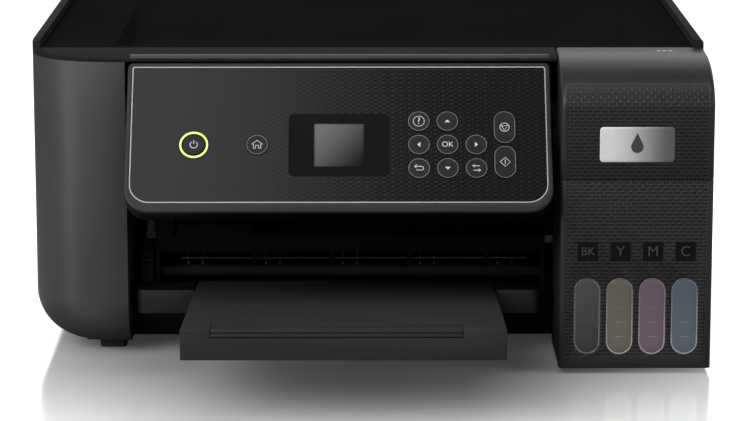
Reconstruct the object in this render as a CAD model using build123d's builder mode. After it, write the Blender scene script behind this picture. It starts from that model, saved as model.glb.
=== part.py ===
"""All-in-one ink-tank printer: body covers, scanner unit, tilting panel, ink tank unit and paper path.

Millimetres, +Z up, the front faces -Y. The origin is on the table, under the middle of the printer's box
with the output tray partly pulled out.
"""

from build123d import *
import os
from math import atan, cos, degrees, radians, sin

os.makedirs("parts", exist_ok=True)

# ---------------------------------------------------------------- overall sizes
body_width = 375.0
body_depth = 347.0            # from the tank unit's front to the rear cover
tray_reach = 110.0            # how far the tray stands out of the tank unit's front at rest
deck_z = 175.0                # top of the scanner rims and of the rear deck
closed_height = 179.0         # top of the feeder cover
wall = 2.5                    # outer covers
seam = 0.3                    # gap between two neighbouring covers
foot_height = 4.5

half_width = body_width / 2
front_y = -(body_depth + tray_reach) / 2
tank_y = front_y + tray_reach
rear_y = tank_y + body_depth


def y_at(depth):
    """Y of a plane that lies the given depth behind the tank unit's front."""
    return tank_y + depth


# ---------------------------------------------------------------- body and its covers
face_setback = 36.0           # body front behind the tank unit's front
face_y = y_at(face_setback)
body_bottom_z = foot_height
body_top_z = 167.2
front_corner_radius = 43.0
rear_corner_radius = 32.0
bottom_round = 28.0
left_cover_width = 54.5
left_edge_x = -half_width + left_cover_width
side_wall_depth = 84.0        # inner wall of the left cover, beside the paper opening
base_side_margin = 29.2       # base edge to the body's side, clear of the rounded bottom
base_front_depth = 74.3
base_corner_depth = 62.3
base_rear_margin = 29.0
base_floor = 2.5
base_lip_z = 23.0

tank_width = 83.0
tank_left_x = half_width - tank_width
tank_bottom_z = 3.2
tank_split_z = 108.0          # between the lower panel and the hinged cover
tank_wall = 2.4
tank_depth = 64.2             # tank unit, back to the scanner unit's edge
shoulder_z = 146.4            # where the cover's front starts to curve back
shoulder_depth = 48.0
shoulder_top_z = 170.4
tank_edge_round = 2.5

opening_left_x = left_edge_x
opening_right_x = tank_left_x

# ---------------------------------------------------------------- scanner unit and lid
unit_front_depth = 64.5       # front edge of the lid well
unit_swing = 8.0              # room ahead of the tub as the scanner unit lifts
unit_tank_gap = 1.3           # scanner unit behind the tank cover's back edge
unit_rear_margin = 45.5       # rear edge of the scanner unit to the body's rear
strip_front_z = 169.2         # front strip's top at the body's front
strip_top_z = 171.0
well_floor_z = 158.0
plate_thickness = 3.0
rim_width = 5.5
well_gap = 0.5                # lid well inside the body covers
tub_bottom_z = 140.0
tub_wall = 2.5
tub_side_margin = 9.5
tub_front_gap = 3.5           # tub behind the lid well's front, clear of the tank cover as it lifts
glass_thickness = 3.0
glass_side_margin = 38.0      # glass edge to the body's side
glass_lip = 3.0               # how far the plate overlaps the glass
lid_gap = 0.5
lid_bottom_z = 158.6
lid_length = 228.0
hinge_back = 4.0              # lid hinge axis behind the lid's rear edge
hinge_axis_z = 163.0
hinge_pin_radius = 3.0
hinge_notch = 3.8             # room for the ears ahead of the lid's rear edge
running_clearance = 0.05
pad_thickness = 3.2
pad_pocket = 0.6

unit_front_y = y_at(unit_front_depth)
unit_rear_y = rear_y - unit_rear_margin
lid_front_y = unit_front_y + lid_gap
lid_rear_y = lid_front_y + lid_length
lid_half_width = half_width - rim_width - lid_gap
lid_hinge_y = lid_rear_y + hinge_back
glass_front_y = unit_front_y + tub_front_gap + tub_wall + seam
glass_rear_y = lid_rear_y - 4.0

# ---------------------------------------------------------------- control panel
panel_tilt = 36.0
panel_top_z = 166.8
panel_length = 90.0
panel_thickness = 11.0
panel_gap_left = 2.0
panel_gap_right = 4.5
panel_low_round = 13.5
panel_high_round = 3.0
panel_border = 2.3
panel_border_low = 5.4
plate_depth = 2.0
panel_wall = 2.0
button_radius = 6.0
button_gap = 0.3
button_travel = 0.8
button_proud = 0.5
button_flange = 0.7
key_gap_x = 3.5
key_gap_y = 2.1
key_pitch_x = 2 * button_radius + key_gap_x
key_pitch_y = 2 * button_radius + key_gap_y

panel_left_x = opening_left_x + panel_gap_left
panel_right_x = opening_right_x - panel_gap_right
panel_width = panel_right_x - panel_left_x
panel_x = (panel_left_x + panel_right_x) / 2

# ---------------------------------------------------------------- output tray
tray_slope = 5.0
tray_top_z = 51.6             # top edge of the tray's front
tray_length = 188.0
tray_plate = 6.0
lip_height = 16.0
lip_thickness = 4.0
fascia_depth = 42.0           # stub fronts behind the tank unit's front
left_stub_gap = 4.0
left_stub_width = 32.0
right_stub_gap = 8.0
right_stub_width = 24.5
tray_side_gap = 1.0
extension_margin_left = 15.5
extension_margin_right = 22.5
extension_length = 120.0
extension_thickness = 2.0
stopper_length = 18.0
stopper_thickness = 1.9
slide_gap = 0.2

left_stub_x = opening_left_x + left_stub_gap
right_stub_x = opening_right_x - right_stub_gap
tray_left_x = left_stub_x + left_stub_width + tray_side_gap
tray_right_x = right_stub_x - right_stub_width - tray_side_gap

# ---------------------------------------------------------------- paper path and carriage
roller_z = 38.5
eject_depth = 88.0
feed_depth = 172.0
roller_shaft_radius = 3.0
eject_sleeve_radius = 3.5
feed_sleeve_radius = 6.0
star_radius = 3.6
star_gap = 0.4
star_shaft_radius = 1.0
gear_module = 1.0
feed_teeth = 36
idler_teeth = 48
pinion_teeth = 12
gear_width = 6.0
bracket = 2.5
rail_depth = 180.0
rail_z = 85.0
rail_radius = 4.0
beam_depth = 199.0
belt_z = 112.0
pulley_radius = 6.5
belt_gap = 0.3
belt_thickness = 1.2
belt_width = 5.0
carriage_width = 66.0
carriage_park_gap = 29.0      # parked carriage to the body's side
carriage_bottom_z = 54.0

left_bracket_x = left_stub_x + 11.0
right_bracket_x = opening_right_x - 6.0
eject_y = y_at(eject_depth)
feed_y = y_at(feed_depth)
rail_y = y_at(rail_depth)
beam_y = y_at(beam_depth)


def block(x0, x1, y0, y1, z0, z1, mode=Mode.ADD):
    """A box between two corners, in the part that is being built."""
    with Locations(((x0 + x1) / 2, (y0 + y1) / 2, (z0 + z1) / 2)):
        Box(x1 - x0, y1 - y0, z1 - z0, mode=mode)


def rod(x0, x1, y, z, radius, mode=Mode.ADD):
    """A cylinder along X, in the part that is being built."""
    with Locations(((x0 + x1) / 2, y, z)):
        Cylinder(radius, x1 - x0, rotation=(0, 90, 0), mode=mode)


def body_block(inset):
    """The body's solid outline, or its hollow when inset is the wall thickness."""
    low_z = body_bottom_z + inset
    high_z = body_top_z + inset
    depth = rear_y - face_y - 2 * inset
    with BuildPart() as outline:
        with BuildSketch(Plane.XY.offset(low_z)) as plan:
            with Locations((0, (face_y + rear_y) / 2)):
                Rectangle(body_width - 2 * inset, depth)
            left_front = plan.vertices().group_by(Axis.X)[0].sort_by(Axis.Y)[0]
            fillet(left_front, front_corner_radius - inset)
            fillet(plan.vertices().group_by(Axis.Y)[-1], rear_corner_radius - inset)
        extrude(amount=high_z - low_z)
        fillet(outline.faces().sort_by(Axis.Z)[0].edges(), bottom_round - inset)
    return outline.part


def unit_plan(z0, z1, inset=0.0):
    """The body's plan outline between two heights, for the parts above and inside the body."""
    with BuildPart() as outline:
        with BuildSketch(Plane.XY.offset(z0)) as plan:
            with Locations((0, (face_y + rear_y) / 2)):
                Rectangle(body_width - 2 * inset, rear_y - face_y - 2 * inset)
            left_front = plan.vertices().group_by(Axis.X)[0].sort_by(Axis.Y)[0]
            fillet(left_front, front_corner_radius - inset)
            fillet(plan.vertices().group_by(Axis.Y)[-1], rear_corner_radius - inset)
        extrude(amount=z1 - z0)
    return outline.part


outer_body = body_block(0)
inner_body = body_block(wall)
base_left_x = -half_width + base_side_margin
base_right_x = half_width - base_side_margin
base_rear_y = rear_y - base_rear_margin
base_front_y = y_at(base_front_depth)
base_floor_z = body_bottom_z + base_floor
clear_z = body_top_z + 20

# ---------------------------------------------------------------- body covers
with BuildPart() as left_hollow:
    add(inner_body)
    block(left_edge_x - wall, half_width, face_y, face_y + side_wall_depth, 0, clear_z, Mode.SUBTRACT)

with BuildPart() as left_cover:
    add(outer_body)
    block(left_edge_x, half_width, face_y, rear_y, 0, clear_z, Mode.SUBTRACT)
    add(left_hollow.part, mode=Mode.SUBTRACT)
    block(base_left_x - seam, half_width, y_at(base_corner_depth) - seam, rear_y, 0,
          base_floor_z + seam, Mode.SUBTRACT)
    block(base_left_x - seam, half_width, face_y + side_wall_depth, rear_y, 0, clear_z, Mode.SUBTRACT)
    block(left_edge_x - wall, half_width, unit_front_y - unit_swing, rear_y, tub_bottom_z - 2, clear_z,
          Mode.SUBTRACT)
left_cover.part.label = "left_cover"
export_step(left_cover.part, "parts/left_cover.step")

with BuildPart() as right_cover:
    add(outer_body)
    block(-half_width, half_width, face_y, y_at(tank_depth) + seam, 0, clear_z, Mode.SUBTRACT)
    add(inner_body, mode=Mode.SUBTRACT)
    block(-half_width, base_right_x + seam, face_y, rear_y, 0, clear_z, Mode.SUBTRACT)
right_cover.part.label = "right_cover"
export_step(right_cover.part, "parts/right_cover.step")

# rear cover: back wall, deck around the feed slot, slot of the paper support
feeder_depth = 40.5           # deck, front to rear
slot_half_width = 112.0
slot_front_gap = 5.5
slot_length = 21.0
support_half_width = 100.0
support_slot = 5.0
support_slot_back = 10.5      # slot's front edge ahead of the body's rear
inlet_x = -half_width + 48.5
inlet_z = 34.0
inlet_width = 26.0
inlet_height = 20.0
usb_x = half_width - 62.0
usb_z = 30.0
usb_width = 13.0
usb_height = 11.0
deck_front_y = rear_y - feeder_depth
slot_front_y = deck_front_y + slot_front_gap

with BuildPart() as rear_cover:
    add(outer_body)
    add(inner_body, mode=Mode.SUBTRACT)
    block(-half_width, half_width, face_y, base_rear_y + seam, 0, clear_z, Mode.SUBTRACT)
    for side in (-1, 1):
        edge = side * base_right_x
        block(min(edge, side * half_width), max(edge, side * half_width), face_y, rear_y, 0, clear_z,
              Mode.SUBTRACT)
    add(unit_plan(body_top_z, deck_z))
    block(-half_width, half_width, face_y, deck_front_y, body_top_z, deck_z, Mode.SUBTRACT)
    block(-half_width, -base_right_x, face_y, rear_y, 0, body_top_z + seam, Mode.SUBTRACT)
    block(base_right_x, half_width, face_y, rear_y, 0, body_top_z + seam, Mode.SUBTRACT)
    block(1 - base_right_x, base_right_x - 1, deck_front_y + wall, rear_y - wall, body_top_z - 1,
          deck_z - wall, Mode.SUBTRACT)
    block(-slot_half_width, slot_half_width, slot_front_y, slot_front_y + slot_length,
          body_top_z - 2 * wall, clear_z, Mode.SUBTRACT)
    block(-support_half_width - 1, support_half_width + 1, rear_y - support_slot_back,
          rear_y - support_slot_back + support_slot, body_top_z, clear_z, Mode.SUBTRACT)
    block(inlet_x - inlet_width / 2, inlet_x + inlet_width / 2, rear_y - 2 * wall, rear_y + 1,
          inlet_z - inlet_height / 2, inlet_z + inlet_height / 2, Mode.SUBTRACT)
    block(usb_x - usb_width / 2, usb_x + usb_width / 2, rear_y - 2 * wall, rear_y + 1,
          usb_z - usb_height / 2, usb_z + usb_height / 2, Mode.SUBTRACT)
rear_cover.part.label = "rear_cover"
export_step(rear_cover.part, "parts/rear_cover.step")

# ---------------------------------------------------------------- front blocks beside the tray
stub_low_z = 24.4
stub_high_z = 37.6
stub_back_depth = 64.0
bridge_z = 17.5
bridge_thickness = 3.5
with BuildPart() as front_blocks:
    block(left_stub_x, left_stub_x + left_stub_width, y_at(fascia_depth), y_at(stub_back_depth),
          stub_low_z, stub_high_z)
    block(right_stub_x - right_stub_width, right_stub_x, y_at(fascia_depth), y_at(stub_back_depth),
          stub_low_z, stub_high_z)
    left_corner = front_blocks.edges().filter_by(Axis.Z).group_by(Axis.X)[0].sort_by(Axis.Y)[0]
    fillet(left_corner, 5)
    right_corner = front_blocks.edges().filter_by(Axis.Z).group_by(Axis.X)[-1].sort_by(Axis.Y)[0]
    fillet(right_corner, 5)
    block(left_stub_x, right_stub_x, y_at(60), base_front_y, bridge_z, bridge_z + bridge_thickness)
    block(left_stub_x, left_stub_x + left_stub_width - 3, y_at(60), y_at(stub_back_depth),
          bridge_z, stub_low_z)
    block(right_stub_x - right_stub_width + 3, right_stub_x, y_at(60), y_at(stub_back_depth),
          bridge_z, stub_low_z)

# ---------------------------------------------------------------- base with its roller brackets
bracket_top_z = 50.0
motor_depth = feed_depth + gear_module * (feed_teeth + pinion_teeth) / 2
idler_depth = feed_depth - gear_module * (feed_teeth + idler_teeth) / 2
motor_radius = 13.0
motor_length = 18.0
idler_pin_radius = 3.0
gear_x = left_bracket_x - bracket - 1.0 - gear_width
bearing_radius = roller_shaft_radius + running_clearance

with BuildPart() as base_tray:
    block(base_left_x, base_right_x, base_front_y, base_rear_y, body_bottom_z, base_floor_z)
    block(base_left_x, left_edge_x, y_at(base_corner_depth), base_front_y, body_bottom_z, base_floor_z)
    block(opening_left_x + seam, opening_right_x - 1, base_front_y, base_front_y + wall, base_floor_z,
          base_lip_z)
    block(left_bracket_x - bracket, left_bracket_x, y_at(78), y_at(motor_depth) + motor_radius + 3,
          base_floor_z, bracket_top_z)
    block(right_bracket_x, right_bracket_x + bracket, y_at(80), y_at(98), base_floor_z, bracket_top_z)
    block(right_bracket_x, right_bracket_x + bracket, y_at(164), y_at(181), base_floor_z, bracket_top_z)
    add(front_blocks.part)
    rod(gear_x - 1, left_bracket_x - bracket, y_at(idler_depth), roller_z, idler_pin_radius)
    for depth in (eject_depth, feed_depth):
        rod(left_bracket_x - 2 * bracket, right_bracket_x + 2 * bracket, y_at(depth), roller_z,
            bearing_radius, Mode.SUBTRACT)
    rod(left_bracket_x - 2 * bracket, left_bracket_x + bracket, y_at(motor_depth), roller_z, 2.5,
        Mode.SUBTRACT)
base_tray.part.label = "base_tray"
export_step(base_tray.part, "parts/base_tray.step")

foot_x = half_width - 43.7
foot_size = 15.0
with BuildPart() as rubber_feet:
    with BuildSketch(Plane.XY):
        with Locations((-foot_x, y_at(70)), (foot_x, y_at(83)), (-foot_x, base_rear_y - 14),
                       (foot_x, base_rear_y - 14)):
            RectangleRounded(foot_size, foot_size, 3)
    extrude(amount=foot_height)
rubber_feet.part.label = "rubber_feet"
export_step(rubber_feet.part, "parts/rubber_feet.step")

# ---------------------------------------------------------------- output tray, extension and stopper
tray_plane = Plane(origin=(0, front_y, tray_top_z), x_dir=(1, 0, 0),
                   z_dir=(0, sin(radians(tray_slope)), cos(radians(tray_slope))))
extension_left_x = tray_left_x + extension_margin_left
extension_right_x = tray_right_x - extension_margin_right
extension_x = (extension_left_x + extension_right_x) / 2
extension_width = extension_right_x - extension_left_x
channel_top = stopper_thickness + slide_gap
channel_bottom = channel_top + extension_thickness + 2 * slide_gap


def tray_slab(plane, x0, x1, s0, s1, t0, t1, mode=Mode.ADD):
    """A slab along the tray's slope: s runs back from the front edge, t runs down from the top face."""
    with BuildSketch(plane.offset(-t1)) as slab:
        with Locations(((x0 + x1) / 2, (s0 + s1) / 2)):
            Rectangle(x1 - x0, s1 - s0)
    extrude(slab.sketch, amount=t1 - t0, mode=mode)


with BuildPart() as tray_main:
    tray_slab(tray_plane, tray_left_x, tray_right_x, 0, tray_length, 0, tray_plate)
    tray_slab(tray_plane, tray_left_x, tray_right_x, 0, lip_thickness, 0, lip_height)
    tray_slab(tray_plane, extension_left_x - slide_gap, extension_right_x + slide_gap, -1,
              extension_length + 3, channel_top - slide_gap, channel_bottom, Mode.SUBTRACT)
    tray_slab(tray_plane, extension_left_x - slide_gap, extension_right_x + slide_gap, -1,
              stopper_length + slide_gap, -1, channel_bottom, Mode.SUBTRACT)
    block(tray_left_x, tray_right_x, front_y - 20, front_y, 0, tray_top_z + 5, Mode.SUBTRACT)
tray_main.part.label = "tray_main"
export_step(tray_main.part, "parts/tray_main.step")

finger_width = 46.0
finger_depth = 3.0
with BuildPart() as tray_extension:
    tray_slab(tray_plane, extension_left_x, extension_right_x, 0.4, extension_length, channel_top,
              channel_top + extension_thickness)
tray_extension.part.label = "tray_extension"
export_step(tray_extension.part, "parts/tray_extension.step")

with BuildPart() as tray_stopper:
    tray_slab(tray_plane, extension_left_x, extension_right_x, 0.4, stopper_length, 0, stopper_thickness)
    tray_slab(tray_plane, extension_x - finger_width / 2, extension_x + finger_width / 2,
              stopper_length - finger_depth, stopper_length + 1, -1, stopper_thickness + 1, Mode.SUBTRACT)
tray_stopper.part.label = "tray_stopper"
export_step(tray_stopper.part, "parts/tray_stopper.step")

# ---------------------------------------------------------------- ink tank unit
window_width = 14.6
window_height = 42.6
window_z = 32.4
tank_pitch = 17.7
first_tank_x = tank_left_x + 15.2
tank_body_width = 15.2
tank_body_front = 4.0
tank_body_depth = 58.0
tank_body_top_z = 94.0
window_fit = 0.2
neck_radius = 4.5
neck_top_z = 99.0
neck_depth = 30.0
port_radius = 2.5
cap_length = 32.0
cap_half_width = 6.0
cap_thickness = 4.3
cap_hinge_depth = 50.0
cap_hinge_z = 101.2
ink_names = ("black", "yellow", "magenta", "cyan")
tank_centres = [first_tank_x + number * tank_pitch for number in range(len(ink_names))]

with BuildPart() as tank_front_panel:
    block(tank_left_x, half_width, tank_y, y_at(tank_depth), tank_bottom_z, tank_split_z - seam)
    front_edges = tank_front_panel.edges().filter_by(Axis.Z).group_by(Axis.Y)[0]
    fillet(front_edges, tank_edge_round)
    block(tank_left_x + tank_wall, half_width - tank_wall, tank_y + tank_wall, rear_y,
          tank_bottom_z + tank_wall, tank_split_z + 1, Mode.SUBTRACT)
    with BuildSketch(Plane.XZ.offset(-(tank_y - 1))):
        with Locations([(x, window_z) for x in tank_centres]):
            SlotOverall(window_height, window_width, rotation=90)
    extrude(amount=-(tank_wall + 2), mode=Mode.SUBTRACT)
tank_front_panel.part.label = "tank_front_panel"
export_step(tank_front_panel.part, "parts/tank_front_panel.step")

with BuildPart() as ink_tanks:
    for tank_x in tank_centres:
        block(tank_x - tank_body_width / 2, tank_x + tank_body_width / 2, y_at(tank_body_front),
              y_at(tank_body_depth), tank_bottom_z + tank_wall, tank_body_top_z)
        with BuildSketch(Plane.XZ.offset(-y_at(0.6))):
            with Locations((tank_x, window_z)):
                SlotOverall(window_height - 2 * window_fit, window_width - 2 * window_fit, rotation=90)
        extrude(amount=-(tank_body_front - 0.6))
        block(tank_x - 3, tank_x + 3, y_at(cap_hinge_depth + 3.2), y_at(tank_body_depth),
              tank_body_top_z, cap_hinge_z + 2)
        with BuildSketch(Plane.XY.offset(tank_body_top_z)):
            with Locations((tank_x, y_at(neck_depth))):
                Circle(neck_radius)
        extrude(amount=neck_top_z - tank_body_top_z)
        with BuildSketch(Plane.XY.offset(neck_top_z)):
            with Locations((tank_x, y_at(neck_depth))):
                Circle(port_radius)
        extrude(amount=-12, mode=Mode.SUBTRACT)
ink_tanks.part.label = "ink_tanks"
export_step(ink_tanks.part, "parts/ink_tanks.step")

for ink_name, tank_x in zip(ink_names, tank_centres):
    with BuildPart() as tank_cap:
        block(tank_x - cap_half_width, tank_x + cap_half_width, y_at(cap_hinge_depth + 1 - cap_length),
              y_at(cap_hinge_depth + 1), neck_top_z + seam, neck_top_z + seam + cap_thickness)
        fillet(tank_cap.edges().filter_by(Axis.Z), 2)
    tank_cap.part.label = f"tank_cap_{ink_name}"
    export_step(tank_cap.part, f"parts/tank_cap_{ink_name}.step")


def cover_profile(inset, foot_z):
    """Side outline of the tank cover in the YZ plane, drawn as a face in the current sketch."""
    front = tank_y + inset
    back = y_at(tank_depth)
    bend_y = y_at(shoulder_depth)
    top_z = shoulder_top_z - inset
    with BuildLine() as lines:
        Line((back, foot_z), (front, foot_z))
        Line((front, foot_z), (front, shoulder_z))
        EllipticalCenterArc((bend_y, shoulder_z), shoulder_depth - inset, top_z - shoulder_z,
                            start_angle=90, arc_size=90)
        Line((bend_y, top_z), (back, strip_top_z - inset))
        Line((back, strip_top_z - inset), (back, foot_z))
    make_face(lines.edges())


with BuildPart() as tank_cover:
    with BuildSketch(Plane.YZ.offset(tank_left_x)):
        cover_profile(0, tank_split_z)
    extrude(amount=tank_width)
    side_edges = [
        edge
        for face in (tank_cover.faces().sort_by(Axis.X)[0], tank_cover.faces().sort_by(Axis.X)[-1])
        for edge in face.edges()
        if edge.center().Z > tank_split_z + 1 and edge.center().Y < y_at(tank_depth) - 1
    ]
    fillet(side_edges, tank_edge_round)
    with BuildSketch(Plane.YZ.offset(tank_left_x + tank_wall)):
        cover_profile(tank_wall, tank_split_z - 1)
    extrude(amount=tank_width - 2 * tank_wall, mode=Mode.SUBTRACT)
    block(tank_left_x + tank_wall, half_width - tank_wall, y_at(tank_depth) - wall, y_at(tank_depth) + 1,
          tank_split_z - 1, strip_top_z - tank_wall - 0.5, Mode.SUBTRACT)
tank_cover.part.label = "tank_cover"
export_step(tank_cover.part, "parts/tank_cover.step")

# ---------------------------------------------------------------- scanner unit
strip_drop = (strip_top_z - strip_front_z) / (unit_front_y - face_y)
strip_low_z = body_top_z + seam
with BuildPart() as strip_wedge:
    with BuildSketch(Plane.YZ.offset(-half_width - 1)):
        Polygon((face_y - 1, strip_front_z - strip_drop), (unit_front_y, strip_top_z),
                (unit_front_y, deck_z + 5), (face_y - 1, deck_z + 5), align=None)
    extrude(amount=body_width + 2)

with BuildPart() as lid_well:
    add(unit_plan(well_floor_z - plate_thickness, strip_low_z, wall + well_gap))
    block(-half_width, half_width, face_y, unit_front_y - wall, 0, deck_z, Mode.SUBTRACT)
    block(-half_width, half_width, unit_rear_y, rear_y, 0, deck_z, Mode.SUBTRACT)

with BuildPart() as scanner_bezel:
    add(unit_plan(strip_low_z, deck_z))
    block(-half_width, half_width, unit_rear_y, rear_y, 0, deck_z, Mode.SUBTRACT)
    add(strip_wedge.part, mode=Mode.SUBTRACT)
    fillet(scanner_bezel.edges().filter_by(Axis.Y).group_by(Axis.Z)[-1].sort_by(Axis.X)[0], 2)
    fillet(scanner_bezel.edges().filter_by(Axis.Y).group_by(Axis.Z)[-1].sort_by(Axis.X)[-1], 2)
    # hollow under the front strip
    block(left_edge_x, tank_left_x - 4, face_y + wall, unit_front_y - wall, 0, strip_front_z - 0.9,
          Mode.SUBTRACT)
    # well that the lid lies in, down to the plate round the glass
    add(lid_well.part)
    block(tank_left_x - seam, half_width, face_y, y_at(tank_depth) + unit_tank_gap, 0, deck_z,
          Mode.SUBTRACT)
    block(-half_width + rim_width, half_width - rim_width, unit_front_y, unit_rear_y + 1,
          well_floor_z, deck_z + 1, Mode.SUBTRACT)
    block(-half_width + glass_side_margin + glass_lip, half_width - glass_side_margin - glass_lip,
          glass_front_y + glass_lip, glass_rear_y - glass_lip, 0, well_floor_z + 1, Mode.SUBTRACT)
    for side in (-1, 1):
        for offset in (-15, 11):
            x_low = side * 120 + offset
            block(x_low, x_low + 4, lid_hinge_y - 5, lid_hinge_y + 5, well_floor_z, hinge_axis_z + 5)
            rod(x_low - 1, x_low + 5, lid_hinge_y, hinge_axis_z, hinge_pin_radius + running_clearance,
                Mode.SUBTRACT)
scanner_bezel.part.label = "scanner_bezel"
export_step(scanner_bezel.part, "parts/scanner_bezel.step")

tub_top_z = well_floor_z - plate_thickness
tub_left_x = -half_width + tub_side_margin
tub_right_x = half_width - tub_side_margin
bar_rail_z = 145.0
with BuildPart() as scanner_tub:
    block(tub_left_x, tub_right_x, unit_front_y + tub_front_gap, unit_rear_y - 3, tub_bottom_z, tub_top_z)
    block(tub_left_x + tub_wall, tub_right_x - tub_wall, unit_front_y + tub_front_gap + tub_wall,
          unit_rear_y - 3 - tub_wall, tub_bottom_z + tub_wall, tub_top_z + 1, Mode.SUBTRACT)
    block(tub_left_x + tub_wall, tub_right_x - tub_wall, unit_front_y + 112, unit_front_y + 118,
          tub_bottom_z + tub_wall, bar_rail_z)
scanner_tub.part.label = "scanner_tub"
export_step(scanner_tub.part, "parts/scanner_tub.step")

with BuildPart() as scan_glass:
    block(-half_width + glass_side_margin, half_width - glass_side_margin, glass_front_y,
          glass_rear_y, tub_top_z - glass_thickness, tub_top_z)
scan_glass.part.label = "scan_glass"
export_step(scan_glass.part, "parts/scan_glass.step")

bar_width = 24.0
bar_rest_x = -half_width + glass_side_margin - 22.0
with BuildPart() as scan_bar:
    block(bar_rest_x, bar_rest_x + bar_width, unit_front_y + 8, unit_rear_y - 14, bar_rail_z + 0.4,
          tub_top_z - glass_thickness - 1)
    block(bar_rest_x, bar_rest_x + bar_width, unit_front_y + 108, unit_front_y + 111.6,
          tub_bottom_z + tub_wall + 0.5, bar_rail_z + 0.4)
    block(bar_rest_x, bar_rest_x + bar_width, unit_front_y + 118.4, unit_front_y + 122,
          tub_bottom_z + tub_wall + 0.5, bar_rail_z + 0.4)
    block(bar_rest_x + 8, bar_rest_x + 16, unit_front_y + 10, unit_rear_y - 16,
          tub_top_z - glass_thickness - 2.5, tub_top_z - glass_thickness, Mode.SUBTRACT)
scan_bar.part.label = "scan_bar"
export_step(scan_bar.part, "parts/scan_bar.step")

# ---------------------------------------------------------------- document cover
recess_left_x = -half_width + 46.5
recess_right_x = half_width - 30.0
recess_front_gap = 9.0
recess_length = 168.0
recess_floor_front_z = 161.5
recess_floor_back_z = 168.0
recess_floor_length = 149.0
recess_wall_front = 8.0
recess_inset_front = 7.0
recess_inset_back = 4.2
recess_front_y = lid_front_y + recess_front_gap
recess_slope = degrees(atan((recess_floor_back_z - recess_floor_front_z) / recess_floor_length))
recess_plane = Plane(origin=(0, recess_front_y + recess_wall_front, recess_floor_front_z),
                     x_dir=(1, 0, 0),
                     z_dir=(0, -sin(radians(recess_slope)), cos(radians(recess_slope))))

pad_front_y = glass_front_y + glass_lip + 1.0
pad_rear_y = glass_rear_y - glass_lip - 3.0

with BuildPart() as document_cover:
    block(-lid_half_width, lid_half_width, lid_front_y, lid_rear_y, lid_bottom_z, strip_top_z)
    fillet(document_cover.faces().sort_by(Axis.Z)[-1].edges(), 1.2)
    with BuildSketch(recess_plane):
        Polygon((recess_left_x + recess_inset_front, 0), (recess_right_x - recess_inset_front, 0),
                (recess_right_x - recess_inset_back, recess_floor_length),
                (recess_left_x + recess_inset_back, recess_floor_length), align=None)
    with BuildSketch(Plane.XY.offset(strip_top_z)):
        Polygon((recess_left_x, recess_front_y), (recess_right_x, recess_front_y),
                (recess_right_x, recess_front_y + recess_length),
                (recess_left_x, recess_front_y + recess_length), align=None)
    loft(ruled=True, mode=Mode.SUBTRACT)
    block(-half_width + glass_side_margin + glass_lip + 1, half_width - glass_side_margin - glass_lip - 1,
          pad_front_y - 1, pad_rear_y + 1, lid_bottom_z - 1, lid_bottom_z + pad_pocket, Mode.SUBTRACT)
    for side in (-1, 1):
        middle = side * 120
        block(middle - 18, middle + 18, lid_rear_y - hinge_notch, lid_rear_y + 1, lid_bottom_z - 1,
              strip_top_z + 1, Mode.SUBTRACT)
        rod(middle - 10, middle + 10, lid_hinge_y, hinge_axis_z, hinge_pin_radius + 1)
        block(middle - 10, middle + 10, lid_rear_y - hinge_notch - 1, lid_hinge_y, hinge_axis_z - 3,
              hinge_axis_z + 3)
        rod(middle - 14.5, middle + 14.5, lid_hinge_y, hinge_axis_z, hinge_pin_radius)
document_cover.part.label = "document_cover"
export_step(document_cover.part, "parts/document_cover.step")

with BuildPart() as lid_pad:
    block(-half_width + glass_side_margin + glass_lip + 2, half_width - glass_side_margin - glass_lip - 2,
          pad_front_y, pad_rear_y, lid_bottom_z + pad_pocket - pad_thickness,
          lid_bottom_z + pad_pocket)
lid_pad.part.label = "lid_pad"
export_step(lid_pad.part, "parts/lid_pad.step")

# ---------------------------------------------------------------- control panel
panel_plane = Plane(origin=(panel_x, face_y, panel_top_z), x_dir=(1, 0, 0),
                    z_dir=(0, -cos(radians(panel_tilt)), sin(radians(panel_tilt))))
panel_half = panel_width / 2
power_x = -panel_half + 37.0
home_x = -panel_half + 71.3
side_key_margin = 19.6
side_key_x = panel_half - side_key_margin - button_radius
ok_x = side_key_x - 2 * key_pitch_x
key_row = -50.0
lcd_width = 27.0
lcd_height = 26.0
lcd_row = -50.1
round_keys = {
    "button_power": (power_x, key_row), "button_home": (home_x, key_row),
    "button_help": (ok_x - key_pitch_x, key_row + key_pitch_y), "button_up": (ok_x, key_row + key_pitch_y),
    "button_left": (ok_x - key_pitch_x, key_row), "button_ok": (ok_x, key_row),
    "button_right": (ok_x + key_pitch_x, key_row),
    "button_back": (ok_x - key_pitch_x, key_row - key_pitch_y),
    "button_down": (ok_x, key_row - key_pitch_y),
    "button_settings": (ok_x + key_pitch_x, key_row - key_pitch_y),
}
long_key_height = 19.4
long_key_row = long_key_height / 2 + 0.7
long_keys = {"button_stop": (side_key_x, key_row + long_key_row),
             "button_start": (side_key_x, key_row - long_key_row)}


def panel_outline(inset, inset_low, top_inset):
    """The panel's front outline in the current sketch, with large lower corners."""
    with BuildLine() as lines:
        Polyline((-panel_half + inset, -top_inset), (panel_half - inset, -top_inset),
                 (panel_half - inset, -panel_length + inset_low),
                 (-panel_half + inset, -panel_length + inset_low), close=True)
        low = lines.vertices().group_by(Axis.Y)[0]
        high = lines.vertices().group_by(Axis.Y)[-1]
        fillet(low, panel_low_round - inset)
        fillet(high, max(panel_high_round - inset, 0.6))
    make_face(lines.edges())


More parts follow.
